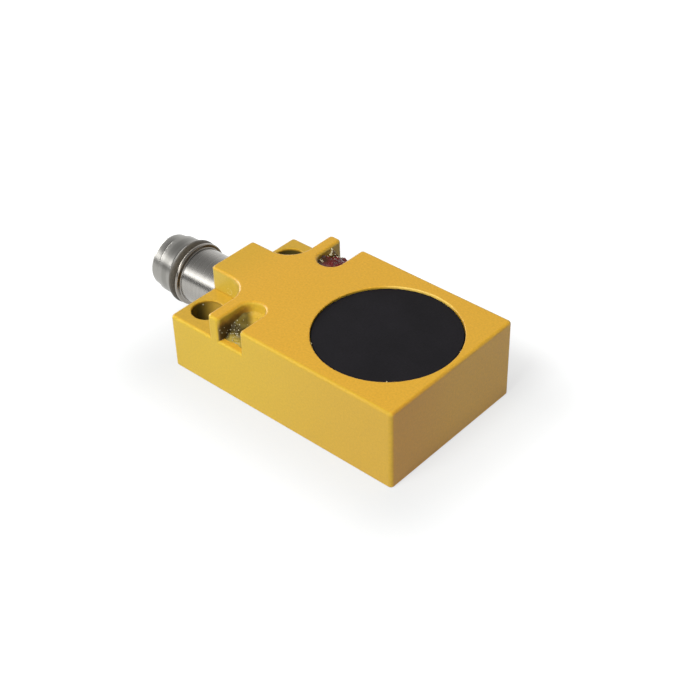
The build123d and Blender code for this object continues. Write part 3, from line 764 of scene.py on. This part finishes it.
found = add_node(spin, "ShaderNodeSeparateXYZ")
cosine = add_node(spin, "ShaderNodeMath", operation="COSINE")
sine = add_node(spin, "ShaderNodeMath", operation="SINE")
target = add_node(spin, "ShaderNodeCombineXYZ")
move = add_node(spin, "GeometryNodeSetPosition")
weld = add_node(spin, "GeometryNodeMergeByDistance", {"Distance": 0.0005 * mm})
smooth = add_node(spin, "GeometryNodeSetShadeSmooth")
realize = add_node(spin, "GeometryNodeRealizeInstances")
coat = add_node(spin, "GeometryNodeSetMaterial")
link(spin, spin_in.outputs["Points"], grid.inputs["Vertices X"])
link(spin, spin_in.outputs["Steps Round"], columns.inputs[0])
link(spin, columns.outputs[0], grid.inputs["Vertices Y"])
link(spin, where.outputs[0], split.inputs[0])
link(spin, spin_in.outputs["Points"], last_row.inputs[0])
row_share = combine(spin, "ADD", split.outputs["X"], 0.5)
link(spin, combine(spin, "MULTIPLY", row_share, last_row.outputs[0]), whole_row.inputs[0])
link(spin, split.outputs["Y"], angle.inputs[0])
link(spin, spin_in.outputs["Outline"], look_up.inputs["Geometry"])
link(spin, outline_place.outputs[0], look_up.inputs["Value"])
link(spin, whole_row.outputs[0], look_up.inputs["Index"])
link(spin, look_up.outputs["Value"], found.inputs[0])
link(spin, angle.outputs[0], cosine.inputs[0])
link(spin, angle.outputs[0], sine.inputs[0])
spun_y = combine(spin, "MULTIPLY", found.outputs["Y"], cosine.outputs[0])
spun_z = combine(spin, "MULTIPLY", found.outputs["Y"], sine.outputs[0])
link(spin, found.outputs["X"], target.inputs["X"])
link(spin, spun_y, target.inputs["Y"])
link(spin, combine(spin, "ADD", spun_z, spin_in.outputs["Axis Height"]), target.inputs["Z"])
link(spin, grid.outputs["Mesh"], move.inputs["Geometry"])
link(spin, target.outputs[0], move.inputs["Position"])
link(spin, move.outputs[0], weld.inputs["Geometry"])
link(spin, weld.outputs[0], smooth.inputs["Geometry"])
link(spin, smooth.outputs[0], realize.inputs[0])
link(spin, realize.outputs[0], coat.inputs["Geometry"])
link(spin, spin_in.outputs["Finish"], coat.inputs["Material"])
link(spin, coat.outputs[0], spin_out.inputs["Mesh"])
print("tree", spin.name, "of", len(spin.nodes), "nodes")

# %% [markdown]
# A tree only grows something on an object. So a helper object carries the loose
# points and the modifier, its result is turned into a plain mesh, and the helper is
# removed. The mesh then becomes a piece, with its faces turned outwards.

# %% Piece helpers
def grown_mesh(name, points, tree, identifiers, values):
    """Runs a tree on loose points given in mm and returns the result as a plain mesh."""
    loose = bpy.data.meshes.new(name + "_points")
    loose.from_pydata([[c * mm for c in point] for point in points], [], [])
    helper = bpy.data.objects.new(name + "_points", loose)
    scene.collection.objects.link(helper)
    modifier = helper.modifiers.new("grow", "NODES")
    modifier.node_group = tree
    for socket_name, value in values.items():
        modifier[identifiers[socket_name]] = value
    bpy.context.view_layer.update()
    ready = helper.evaluated_get(bpy.context.evaluated_depsgraph_get())
    mesh = bpy.data.meshes.new_from_object(ready)
    bpy.data.objects.remove(helper)
    mesh.name = name
    return mesh


def outward(mesh, sharp_degrees):
    """Turns all faces of a closed mesh outwards and keeps edges over an angle crisp."""
    work = bmesh.new()
    work.from_mesh(mesh)
    bmesh.ops.remove_doubles(work, verts=work.verts, dist=0.0002 * mm)
    bmesh.ops.recalc_face_normals(work, faces=work.faces)
    if work.calc_volume(signed=True) < 0:
        bmesh.ops.reverse_faces(work, faces=work.faces)
    work.to_mesh(mesh)
    work.free()
    mesh.polygons.foreach_set("use_smooth", [True] * len(mesh.polygons))
    mesh.set_sharp_from_angle(angle=math.radians(sharp_degrees))


def piece_of(mesh, material):
    """Puts a finished mesh into the scene as an object of the same name."""
    if not mesh.materials:
        mesh.materials.append(material)
    piece = bpy.data.objects.new(mesh.name, mesh)
    scene.collection.objects.link(piece)
    print(mesh.name, "has", len(mesh.polygons), "faces")
    return piece


def turned_piece(name, corners, steps_round, material, sharp_degrees=40):
    """Spins an outline given in mm round the barrel's axis and returns a plain mesh object."""
    line = rounded_outline(corners)
    line.append(line[0].copy())
    mesh = grown_mesh(name, [(p.x, p.y, 0) for p in line], spin, spin_sockets, {
        "Points": len(line), "Steps Round": steps_round, "Axis Height": axis_height * mm,
        "Finish": material,
    })
    outward(mesh, sharp_degrees)
    return piece_of(mesh, material)


print("piece helpers: grown_mesh, outward, piece_of, turned_piece")

# %% [markdown]
# The barrel's outline runs from the housing out to the mouth and back inside the bore.
# All lengths are the real ones, and the roundings are what a lathe tool leaves.

# %% Plug barrel
shell_low, shell_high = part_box("connector_shell")
mouth, rear = shell_low.x / mm, shell_high.x / mm
shaft_radius, ring_radius, groove_radius, groove_rear = 3.4, 3.86, 2.72, -9.98
band_radius, band_rear, snap_radius, snap_rear, collar_radius = 3.55, -11.95, 3.12, -12.2, 3.26
bore_radius, socket_floor, inner_radius, flange_radius, flange_rear = 2.4, -0.9, 2.05, 2.99, -2.5
barrel_corners = [
    (rear, flange_radius, 0.0), (flange_rear, flange_radius, 0.0),
    (flange_rear, shaft_radius, 0.0), (ring_front, shaft_radius, 0.14),
    (ring_front, ring_radius, 0.18), (ring_rear, ring_radius, 0.16),
    (ring_rear, groove_radius, 0.03), (groove_rear, groove_radius, 0.03),
    (groove_rear, band_radius, 0.12), (band_rear, band_radius - 0.02, 0.07),
    (band_rear, snap_radius, 0.04), (snap_rear, snap_radius, 0.04),
    (snap_rear, collar_radius, 0.05), (mouth, collar_radius, 0.5),
    (mouth, bore_radius + 0.2, 0.05), (mouth + 0.2, bore_radius, 0.05),
    (socket_floor, bore_radius, 0.0), (socket_floor, inner_radius, 0.0),
    (rear, inner_radius, 0.0),
]
barrel = turned_piece("plug_barrel", barrel_corners, 128, steel)
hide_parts("connector_shell")
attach(barrel, "root")

# %% [markdown]
# The ring in the groove is brown rubber. It is round in section and pressed a little
# flat on the groove's floor. Rubber is matt, with dust in its pores.

# %% Brown rubber
rubber, rubber_tree, rubber_shader, rubber_place = new_material("brown rubber")
rubber_pores = use_group(rubber_tree, fine_grain, rubber_place, Size=3800.0, Low=0.3, High=0.75)
tint(rubber_tree, rubber_pores.outputs["Mask"], (0.036, 0.03, 0.021), (0.084, 0.069, 0.05),
     rubber_shader)
gloss(rubber_tree, rubber_pores.outputs["Mask"], 0.4, 0.55, rubber_shader)
relief(rubber_tree, rubber_pores.outputs["Mask"], 0.01 * mm, 0.5, rubber_shader)
print("rubber with dusty pores")

# %% [markdown]
# The ring's section is a circle of 28 points, a trifle wider than high, whose lowest
# points are held just above the groove's floor. The same tree spins it.

# %% Seal ring
ring_centre, seal_radius, seal_half, section_points = -9.35, 3.34, 0.6, 28
seal_corners = []
for k in range(section_points):
    turn = 2 * math.pi * k / section_points
    seal_corners.append((
        ring_centre + 1.03 * seal_half * math.cos(turn),
        max(seal_radius + seal_half * math.sin(turn), groove_radius + 0.04),
        0.0,
    ))
seal = turned_piece("seal_ring", seal_corners, 112, rubber, 60)
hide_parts("barrel_seal_ring")
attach(seal, "root")

# %% [markdown]
# Resin is poured into the two slots while it is runny. It fills the round inner end
# and then slopes down to the open end, where it set in ragged waves. Its height
# follows a short list of points along the slot, softened so that no crease shows.

# %% Slope of the resin
slot_centre_x, slot_half = 6.85, 1.59
arc_centre, floor_z = 6.5, lug_top


def height_along(profile, place):
    """Height of a profile of (distance, height) points, softened over half a millimetre."""
    total = 0.0
    for k in range(5):
        spot = min(max(place + (k - 2) * 0.11, profile[0][0]), profile[-1][0])
        for (y0, z0), (y1, z1) in zip(profile, profile[1:]):
            if y0 <= spot <= y1:
                total += z0 + (z1 - z0) * (spot - y0) / (y1 - y0)
                break
    return total / 5


print("slots", 2 * slot_half, "mm wide")

# %% [markdown]
# A poured surface is a height field: a grid laid over the plan of the slot. It climbs
# a little at the walls, which is what a wet rim does, and noise breaks it up where
# the resin slopes. Two more sheets of faces, below and round it, close the mesh.

# %% Resin maker
def pool_width(along_y):
    """Half the width of the slot at a distance from the middle of the sensor."""
    if along_y > arc_centre:
        return slot_half
    return max(math.sqrt(max(slot_half ** 2 - (arc_centre - along_y) ** 2, 0.0)), 0.02)


def resin_pool(name, side, profile, creep, wobble, rough_from, seed, material):
    """A poured pool in the slot on the given side, as one closed mesh. Sizes in mm."""
    rows, columns_across, edge_rows = 110, 60, 8
    lip = profile[-1][0]
    work = bmesh.new()
    top, bottom = [], []
    shift = Vector((seed * 7.3, seed * 3.1, 0))
    end = arc_centre - slot_half + 0.02
    for i in range(rows + 1):
        t = i / rows
        along_y = lip + (end - lip) * t
        half = pool_width(along_y)
        edge = min(1.0, (i / edge_rows) ** 0.6)
        top_row, bottom_row = [], []
        for j in range(columns_across + 1):
            s = -math.cos(math.pi * j / columns_across)
            x = slot_centre_x + half * s
            ragged_lip = noise.noise(Vector((x * 1.7, 0.4, 0)) + shift) * 0.35
            y = min(along_y + ragged_lip * max(0.0, 1 - t * 4), lip)
            to_wall = half * (1 - abs(s)) + 0.02
            to_end = slot_half - math.hypot(x - slot_centre_x, min(y - arc_centre, 0.0))
            near_wall = min(to_wall, max(to_end, 0.0))
            climb = creep * (1 + 0.8 * noise.noise(Vector((1.4 * y, 3 * seed, 0)) + shift))
            z = height_along(profile, y) + climb * math.exp(-near_wall / 0.3)
            loose = 0.25 + 0.75 * min(1.0, max(0.0, (y - rough_from) / 0.6))
            z += wobble * loose * noise.fractal(Vector((x * 1.6, y * 1.6, seed)), 0.8, 2.0, 3)
            z = floor_z + max(0.02, (z - floor_z) * edge)
            top_row.append(work.verts.new((x * mm, side * y * mm, z * mm)))
            bottom_row.append(work.verts.new((x * mm, side * y * mm, (floor_z - 0.01) * mm)))
        top.append(top_row)
        bottom.append(bottom_row)
    for i in range(rows):
        for j in range(columns_across):
            work.faces.new((top[i][j], top[i][j + 1], top[i + 1][j + 1], top[i + 1][j]))
            work.faces.new((bottom[i][j], bottom[i + 1][j], bottom[i + 1][j + 1],
                            bottom[i][j + 1]))
        for j in (0, columns_across):
            work.faces.new((top[i][j], top[i + 1][j], bottom[i + 1][j], bottom[i][j]))
    for j in range(columns_across):
        for i in (0, rows):
            work.faces.new((top[i][j], bottom[i][j], bottom[i][j + 1], top[i][j + 1]))
    mesh = bpy.data.meshes.new(name)
    work.to_mesh(mesh)
    work.free()
    outward(mesh, 70)
    return piece_of(mesh, material)


print("resin helpers: pool_width, resin_pool")

# %% [markdown]
# The near pool is nearly clear, so what one sees is the yellow floor through more or
# less resin: bright at the inner end and on the right, and dark olive where the resin
# lies in the shade of the rib. Real transparency gets noisy in such a small cup, so the
# depth and this light and shade are painted: a mask that runs across the slot mixes the
# three tones, a painted light, a painted shade on the slope and the floor under thin resin.

# %% Clear resin
clear, clear_tree, clear_shader, clear_place = new_material("clear cast resin")
clear_cloud = use_group(clear_tree, fine_grain, clear_place, Size=900.0, Low=0.35, High=0.7)
clear_x, clear_y, _, clear_step = steps_of(clear_tree, clear_place)
clear_out = combine(clear_tree, "MULTIPLY", clear_y, -1.0)
light_and_depth_line = combine(clear_tree, "SUBTRACT", clear_x,
                     combine(clear_tree, "MULTIPLY", clear_out, 1.1))
# Painted light: the lit end of the slot, seen through the resin.
painted_light_through_resin = clear_step(light_and_depth_line, -1.1, 0.4)
shaded_slope = combine(clear_tree, "MULTIPLY", clear_step(clear_out, 7.2, 7.8), 0.9)
thin_end = combine(clear_tree, "MULTIPLY", clear_step(clear_out, 7.95, 8.8),
                   clear_step(clear_x, 5.3, 5.9), 0.95)
clear_tone = tint(clear_tree, clear_cloud.outputs["Mask"], (0.11, 0.08, 0.016),
                  (0.2, 0.155, 0.035), clear_shader)
for mask, colour in ((painted_light_through_resin, (0.57, 0.375, 0.05)), (shaded_slope, (0.05, 0.036, 0.01)),
                     (thin_end, (0.40, 0.295, 0.055))):
    clear_tone = blend(clear_tree, clear_tone, mask, colour)
link(clear_tree, clear_tone, clear_shader.inputs["Base Color"])
gloss(clear_tree, clear_cloud.outputs["Mask"], 0.1, 0.22, clear_shader)
relief(clear_tree, clear_cloud.outputs["Mask"], 0.04 * mm, 0.3, clear_shader)
clear_shader.inputs["IOR"].default_value = 1.5
print("clear resin in three depths")

# %% [markdown]
# The near pool stands low, because much of it was wiped out again while it was soft:
# it falls steeply between 7.5 and 8.3 mm from the middle.

# %% Near pool
near_profile = [(4.9, 8.45), (7.0, 8.35), (7.5, 8.2), (7.9, 7.8), (8.3, 7.2), (9.2, 7.06)]
near_pool = resin_pool("clear_resin_pool", -1, near_profile, creep=0.25, wobble=0.3,
                       rough_from=7.4, seed=3, material=clear)
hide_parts("clear_light_window")
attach(near_pool, "root")

# %% [markdown]
# The far pool is dyed a dark wine red, and a painted shade makes it browner in the
# corner under the rib. It stands higher and is full to the open end.

# %% Red resin and far pool
red, red_tree, red_shader, red_place = new_material("red cast resin")
red_cloud = use_group(red_tree, fine_grain, red_place, Size=1000.0, Low=0.3, High=0.75)
red_tone = tint(red_tree, red_cloud.outputs["Mask"], (0.07, 0.005, 0.006),
                (0.17, 0.016, 0.018), red_shader)
red_x, red_y, _, red_step = steps_of(red_tree, red_place)
# Painted shade: darker and browner in the corner under the rib.
red_corner_painted_shade = combine(red_tree, "MULTIPLY", red_step(red_y, 7.6, 6.6), red_step(red_x, 6.6, 5.8))
link(red_tree, blend(red_tree, red_tone, red_corner_painted_shade, (0.05, 0.02, 0.008)),
     red_shader.inputs["Base Color"])
gloss(red_tree, red_cloud.outputs["Mask"], 0.08, 0.2, red_shader)
relief(red_tree, red_cloud.outputs["Mask"], 0.05 * mm, 0.3, red_shader)
red_shader.inputs["IOR"].default_value = 1.5
red_shader.inputs["Specular IOR Level"].default_value = 0.3
far_profile = [(4.9, 9.3), (7.0, 9.15), (8.5, 8.45), (9.6, 7.85), (9.9, 7.3), (10.0, 7.05)]
far_pool = resin_pool("red_resin_pool", 1, far_profile, creep=0.12, wobble=0.3,
                      rough_from=6.0, seed=5, material=red)
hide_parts("red_light_window")
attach(far_pool, "root")

# %% [markdown]
# Where the resin was wiped off, crumbs of it stuck to the wall and the floor of the
# slots. They are many and all alike, which is a job for Geometry Nodes: small facets
# are placed on a list of spots, each with its own turn and size from a fixed seed.

# %% Crumb tree
crumbs, crumb_in, crumb_out, crumb_sockets = new_tree("crumbs on spots", (
    ("Spots", "NodeSocketGeometry"), ("Crumb Size", "NodeSocketFloat"),
    ("Seed", "NodeSocketInt"), ("Finish", "NodeSocketMaterial"),
))
facet = add_node(crumbs, "GeometryNodeMeshIcoSphere", {"Subdivisions": 1})
turns = add_node(crumbs, "FunctionNodeRandomValue", {"Max": (6.28, 6.28, 6.28)},
                 data_type="FLOAT_VECTOR")
scales = add_node(crumbs, "FunctionNodeRandomValue",
                  {"Min": (0.3, 0.3, 0.3), "Max": (1.3, 1.3, 1.3)}, data_type="FLOAT_VECTOR")
place_crumbs = add_node(crumbs, "GeometryNodeInstanceOnPoints")
crumb_real = add_node(crumbs, "GeometryNodeRealizeInstances")
crumb_coat = add_node(crumbs, "GeometryNodeSetMaterial")
link(crumbs, crumb_in.outputs["Crumb Size"], facet.inputs["Radius"])
link(crumbs, crumb_in.outputs["Seed"], turns.inputs["Seed"])
link(crumbs, crumb_in.outputs["Seed"], scales.inputs["Seed"])
link(crumbs, crumb_in.outputs["Spots"], place_crumbs.inputs["Points"])
link(crumbs, facet.outputs["Mesh"], place_crumbs.inputs["Instance"])
link(crumbs, turns.outputs["Value"], place_crumbs.inputs["Rotation"])
link(crumbs, scales.outputs["Value"], place_crumbs.inputs["Scale"])
link(crumbs, place_crumbs.outputs["Instances"], crumb_real.inputs[0])
link(crumbs, crumb_real.outputs[0], crumb_coat.inputs["Geometry"])
link(crumbs, crumb_in.outputs["Finish"], crumb_coat.inputs["Material"])
link(crumbs, crumb_coat.outputs[0], crumb_out.inputs["Mesh"])
print("tree", crumbs.name, "of", len(crumbs.nodes), "nodes")

# %% [markdown]
# Crumbs of set resin are pale and glossy, the specks on the rim are duller and more
# yellow, since they are bits of the dark filling that were ground off with the paint.

# %% Crumb finishes
crumb_skin, crumb_nodes, crumb_shader, crumb_place = new_material("pale resin crumbs")
crumb_grain = use_group(crumb_nodes, fine_grain, crumb_place, Size=6000.0, Low=0.3, High=0.7)
tint(crumb_nodes, crumb_grain.outputs["Mask"], (0.3, 0.26, 0.14), (0.72, 0.67, 0.5), crumb_shader)
gloss(crumb_nodes, crumb_grain.outputs["Mask"], 0.08, 0.25, crumb_shader)

speck_skin, speck_nodes, speck_shader, speck_place = new_material("dull resin specks")
speck_grain = use_group(speck_nodes, fine_grain, speck_place, Size=6000.0, Low=0.3, High=0.7)
tint(speck_nodes, speck_grain.outputs["Mask"], (0.42, 0.33, 0.16), (0.72, 0.6, 0.36), speck_shader)
gloss(speck_nodes, speck_grain.outputs["Mask"], 0.3, 0.5, speck_shader)
print("finishes:", crumb_skin.name, "and", speck_skin.name)

# %% [markdown]
# A crumb has to lie on the resin, not float over it or sink in. So a spot is given in
# plan only and falls straight down: a ray from above finds the height of the surface.

# %% Crumb makers
def resting_on(piece, spots):
    """Lets spots given as (x, y) in mm fall onto a piece and returns them with their height."""
    surface = BVHTree.FromPolygons(
        [v.co.copy() for v in piece.data.vertices],
        [tuple(face.vertices) for face in piece.data.polygons])
    landed = []
    for x, y in spots:
        hit = surface.ray_cast(Vector((x, y, 20)) * mm, Vector((0, 0, -1)))[0]
        if hit is not None:
            landed.append((x, y, hit.z / mm + 0.02))
    return landed


def crumb_piece(name, spots, size, seed, material):
    """Sets small facets on spots given in mm and hangs the piece on the sensor."""
    mesh = grown_mesh(name, spots, crumbs, crumb_sockets,
                      {"Crumb Size": size * mm, "Seed": seed, "Finish": material})
    piece = piece_of(mesh, material)
    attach(piece, "root")


print("crumb makers: resting_on, crumb_piece")

# %% [markdown]
# The spots were read from the photo: a loose cloud on the slope of the near
# pool, a few on the wall of its rib and two in the near bore.

# %% Near crumbs
rib_wall_x = 5.29
near_wall_spots = [
    (-8.04, 8.18), (-8.02, 7.95), (-8.25, 7.7), (-8.22, 7.35), (-7.59, 8.3), (-8.52, 7.12),
    (-9.77, 8.5), (-9.5, 7.99), (-9.53, 7.1), (-8.83, 7.6), (-9.12, 8.47), (-8.65, 7.85),
]
near_surface_spots = [
    (5.96, -7.49), (5.4, -7.25), (5.97, -8.12), (6.0, -8.61), (6.64, -8.69), (6.13, -7.83),
    (6.78, -7.04), (5.62, -7.97), (5.45, -8.94), (6.2, -8.9), (5.5, -7.7), (7.2, -8.3),
    (5.7, -7.55), (5.86, -7.8), (6.22, -8.11), (6.3, -8.26), (5.75, -8.36), (5.9, -6.8),
    (5.58, -8.52), (6.83, -9.0),
]
bore_spots = [(-1.56, -5.87, 6.6), (-1.57, -5.86, 6.47)]
near_spots = [(rib_wall_x, y, z) for y, z in near_wall_spots]
near_spots += resting_on(near_pool, near_surface_spots) + bore_spots
crumb_piece("near_resin_crumbs", near_spots, 0.08, 4, crumb_skin)

# %% [markdown]
# On the far side a line of crumbs lies at the foot of the rib, larger drops cling to
# its wall, and a few dull specks sit on the rim of the sensing face.

# %% Far crumbs and rim specks
far_wall_spots = [
    (8.31, 9.5), (8.53, 9.07), (8.05, 8.95), (8.66, 8.7), (7.59, 8.94), (8.2, 9.2), (8.75, 8.9),
]
far_surface_spots = [
    (5.24, 6.2), (5.42, 6.2), (5.6, 6.17), (5.8, 6.12), (5.95, 6.04), (5.66, 8.8), (5.85, 9.02),
    (5.94, 9.34), (5.4, 9.3), (6.3, 7.64), (5.45, 8.39),
]
rim_spots = [
    (15.62, -6.44, 9.97), (15.76, -6.56, 9.95), (25.61, 6.46, 10.0), (25.78, 6.32, 9.99),
    (28.38, 2.62, 10.0), (28.46, 2.3, 9.99), (25.8, -6.3, 9.97),
]
crumb_piece("far_resin_crumbs", resting_on(far_pool, far_surface_spots), 0.13, 9, crumb_skin)
crumb_piece("far_wall_drops", [(5.3, y, z) for y, z in far_wall_spots], 0.2, 12, crumb_skin)
crumb_piece("rim_specks", rim_spots, 0.065, 21, speck_skin)

# %% [markdown]
# The solids that stay get their own finishes. First the housing and its face.

# %% Finishes of housing and face
def dress(material, *names):
    for name in names:
        data = nodes[name].data
        data.materials.clear()
        data.materials.append(material)


dress(paint, "housing")
dress(face_plastic, "active_face_cap")
print("dressed: housing and active_face_cap")

# %% [markdown]
# The pieces inside and in the barrel's mouth are small, so one simple recipe
# serves them all: two tones mixed by grain, a range of gloss and a shallow relief.

# %% Finishes of the small pieces
def simple_finish(name, low, high, smooth, rough, metal, size):
    material, tree, shader, place = new_material(name)
    grain = use_group(tree, fine_grain, place, Size=size, Low=0.3, High=0.7)
    tint(tree, grain.outputs["Mask"], low, high, shader)
    gloss(tree, grain.outputs["Mask"], smooth, rough, shader)
    relief(tree, grain.outputs["Mask"], 0.01 * mm, 0.3, shader)
    shader.inputs["Metallic"].default_value = metal
    return material


small_finishes = [
    ("sintered ferrite", (0.014, 0.014, 0.015), (0.03, 0.03, 0.032), 0.5, 0.7, 0.0, 3000.0,
     ("ferrite_core",)),
    ("natural plastic", (0.58, 0.55, 0.45), (0.66, 0.63, 0.53), 0.4, 0.55, 0.0, 2000.0,
     ("coil_bobbin",)),
    ("enamelled copper", (0.42, 0.13, 0.05), (0.55, 0.2, 0.08), 0.2, 0.35, 1.0, 2500.0,
     ("coil_winding", "coil_leads")),
    ("green laminate", (0.008, 0.07, 0.025), (0.014, 0.11, 0.04), 0.25, 0.4, 0.0, 1800.0,
     ("circuit_board",)),
    ("package plastic", (0.012, 0.012, 0.012), (0.024, 0.024, 0.025), 0.5, 0.65, 0.0, 5000.0,
     ("sensor_chip", "output_transistor", "voltage_regulator", "suppressor_diodes")),
    ("tan ceramic", (0.33, 0.2, 0.09), (0.42, 0.27, 0.13), 0.35, 0.5, 0.0, 3000.0,
     ("chip_capacitors",)),
    ("glazed ceramic", (0.01, 0.01, 0.011), (0.02, 0.02, 0.022), 0.15, 0.3, 0.0, 3000.0,
     ("chip_resistors",)),
    ("milky yellow plastic", (0.75, 0.62, 0.2), (0.85, 0.74, 0.3), 0.2, 0.3, 0.0, 2000.0,
     ("yellow_lamp",)),
    ("red lamp plastic", (0.45, 0.01, 0.01), (0.6, 0.03, 0.02), 0.2, 0.3, 0.0, 2000.0,
     ("red_lamp",)),
    ("black insulator", (0.012, 0.012, 0.013), (0.022, 0.022, 0.024), 0.4, 0.55, 0.0, 4000.0,
     ("contact_carrier",)),
    ("gold plate", (0.7, 0.42, 0.12), (0.8, 0.52, 0.18), 0.14, 0.24, 1.0, 2500.0,
     ("contact_pins",)),
    ("tinned wire", (0.55, 0.55, 0.53), (0.65, 0.65, 0.63), 0.2, 0.35, 1.0, 2500.0,
     ("link_wire",)),
    ("solder", (0.5, 0.5, 0.51), (0.62, 0.62, 0.63), 0.12, 0.3, 1.0, 1500.0,
     ("solder_joints",)),
    ("dark potting", (0.02, 0.016, 0.01), (0.035, 0.028, 0.018), 0.15, 0.35, 0.0, 1200.0,
     ("potting_compound",)),
]
for name, low, high, smooth_end, rough_end, metal, size, pieces in small_finishes:
    dress(simple_finish(name, low, high, smooth_end, rough_end, metal, size), *pieces)
print(len(small_finishes), "small finishes")
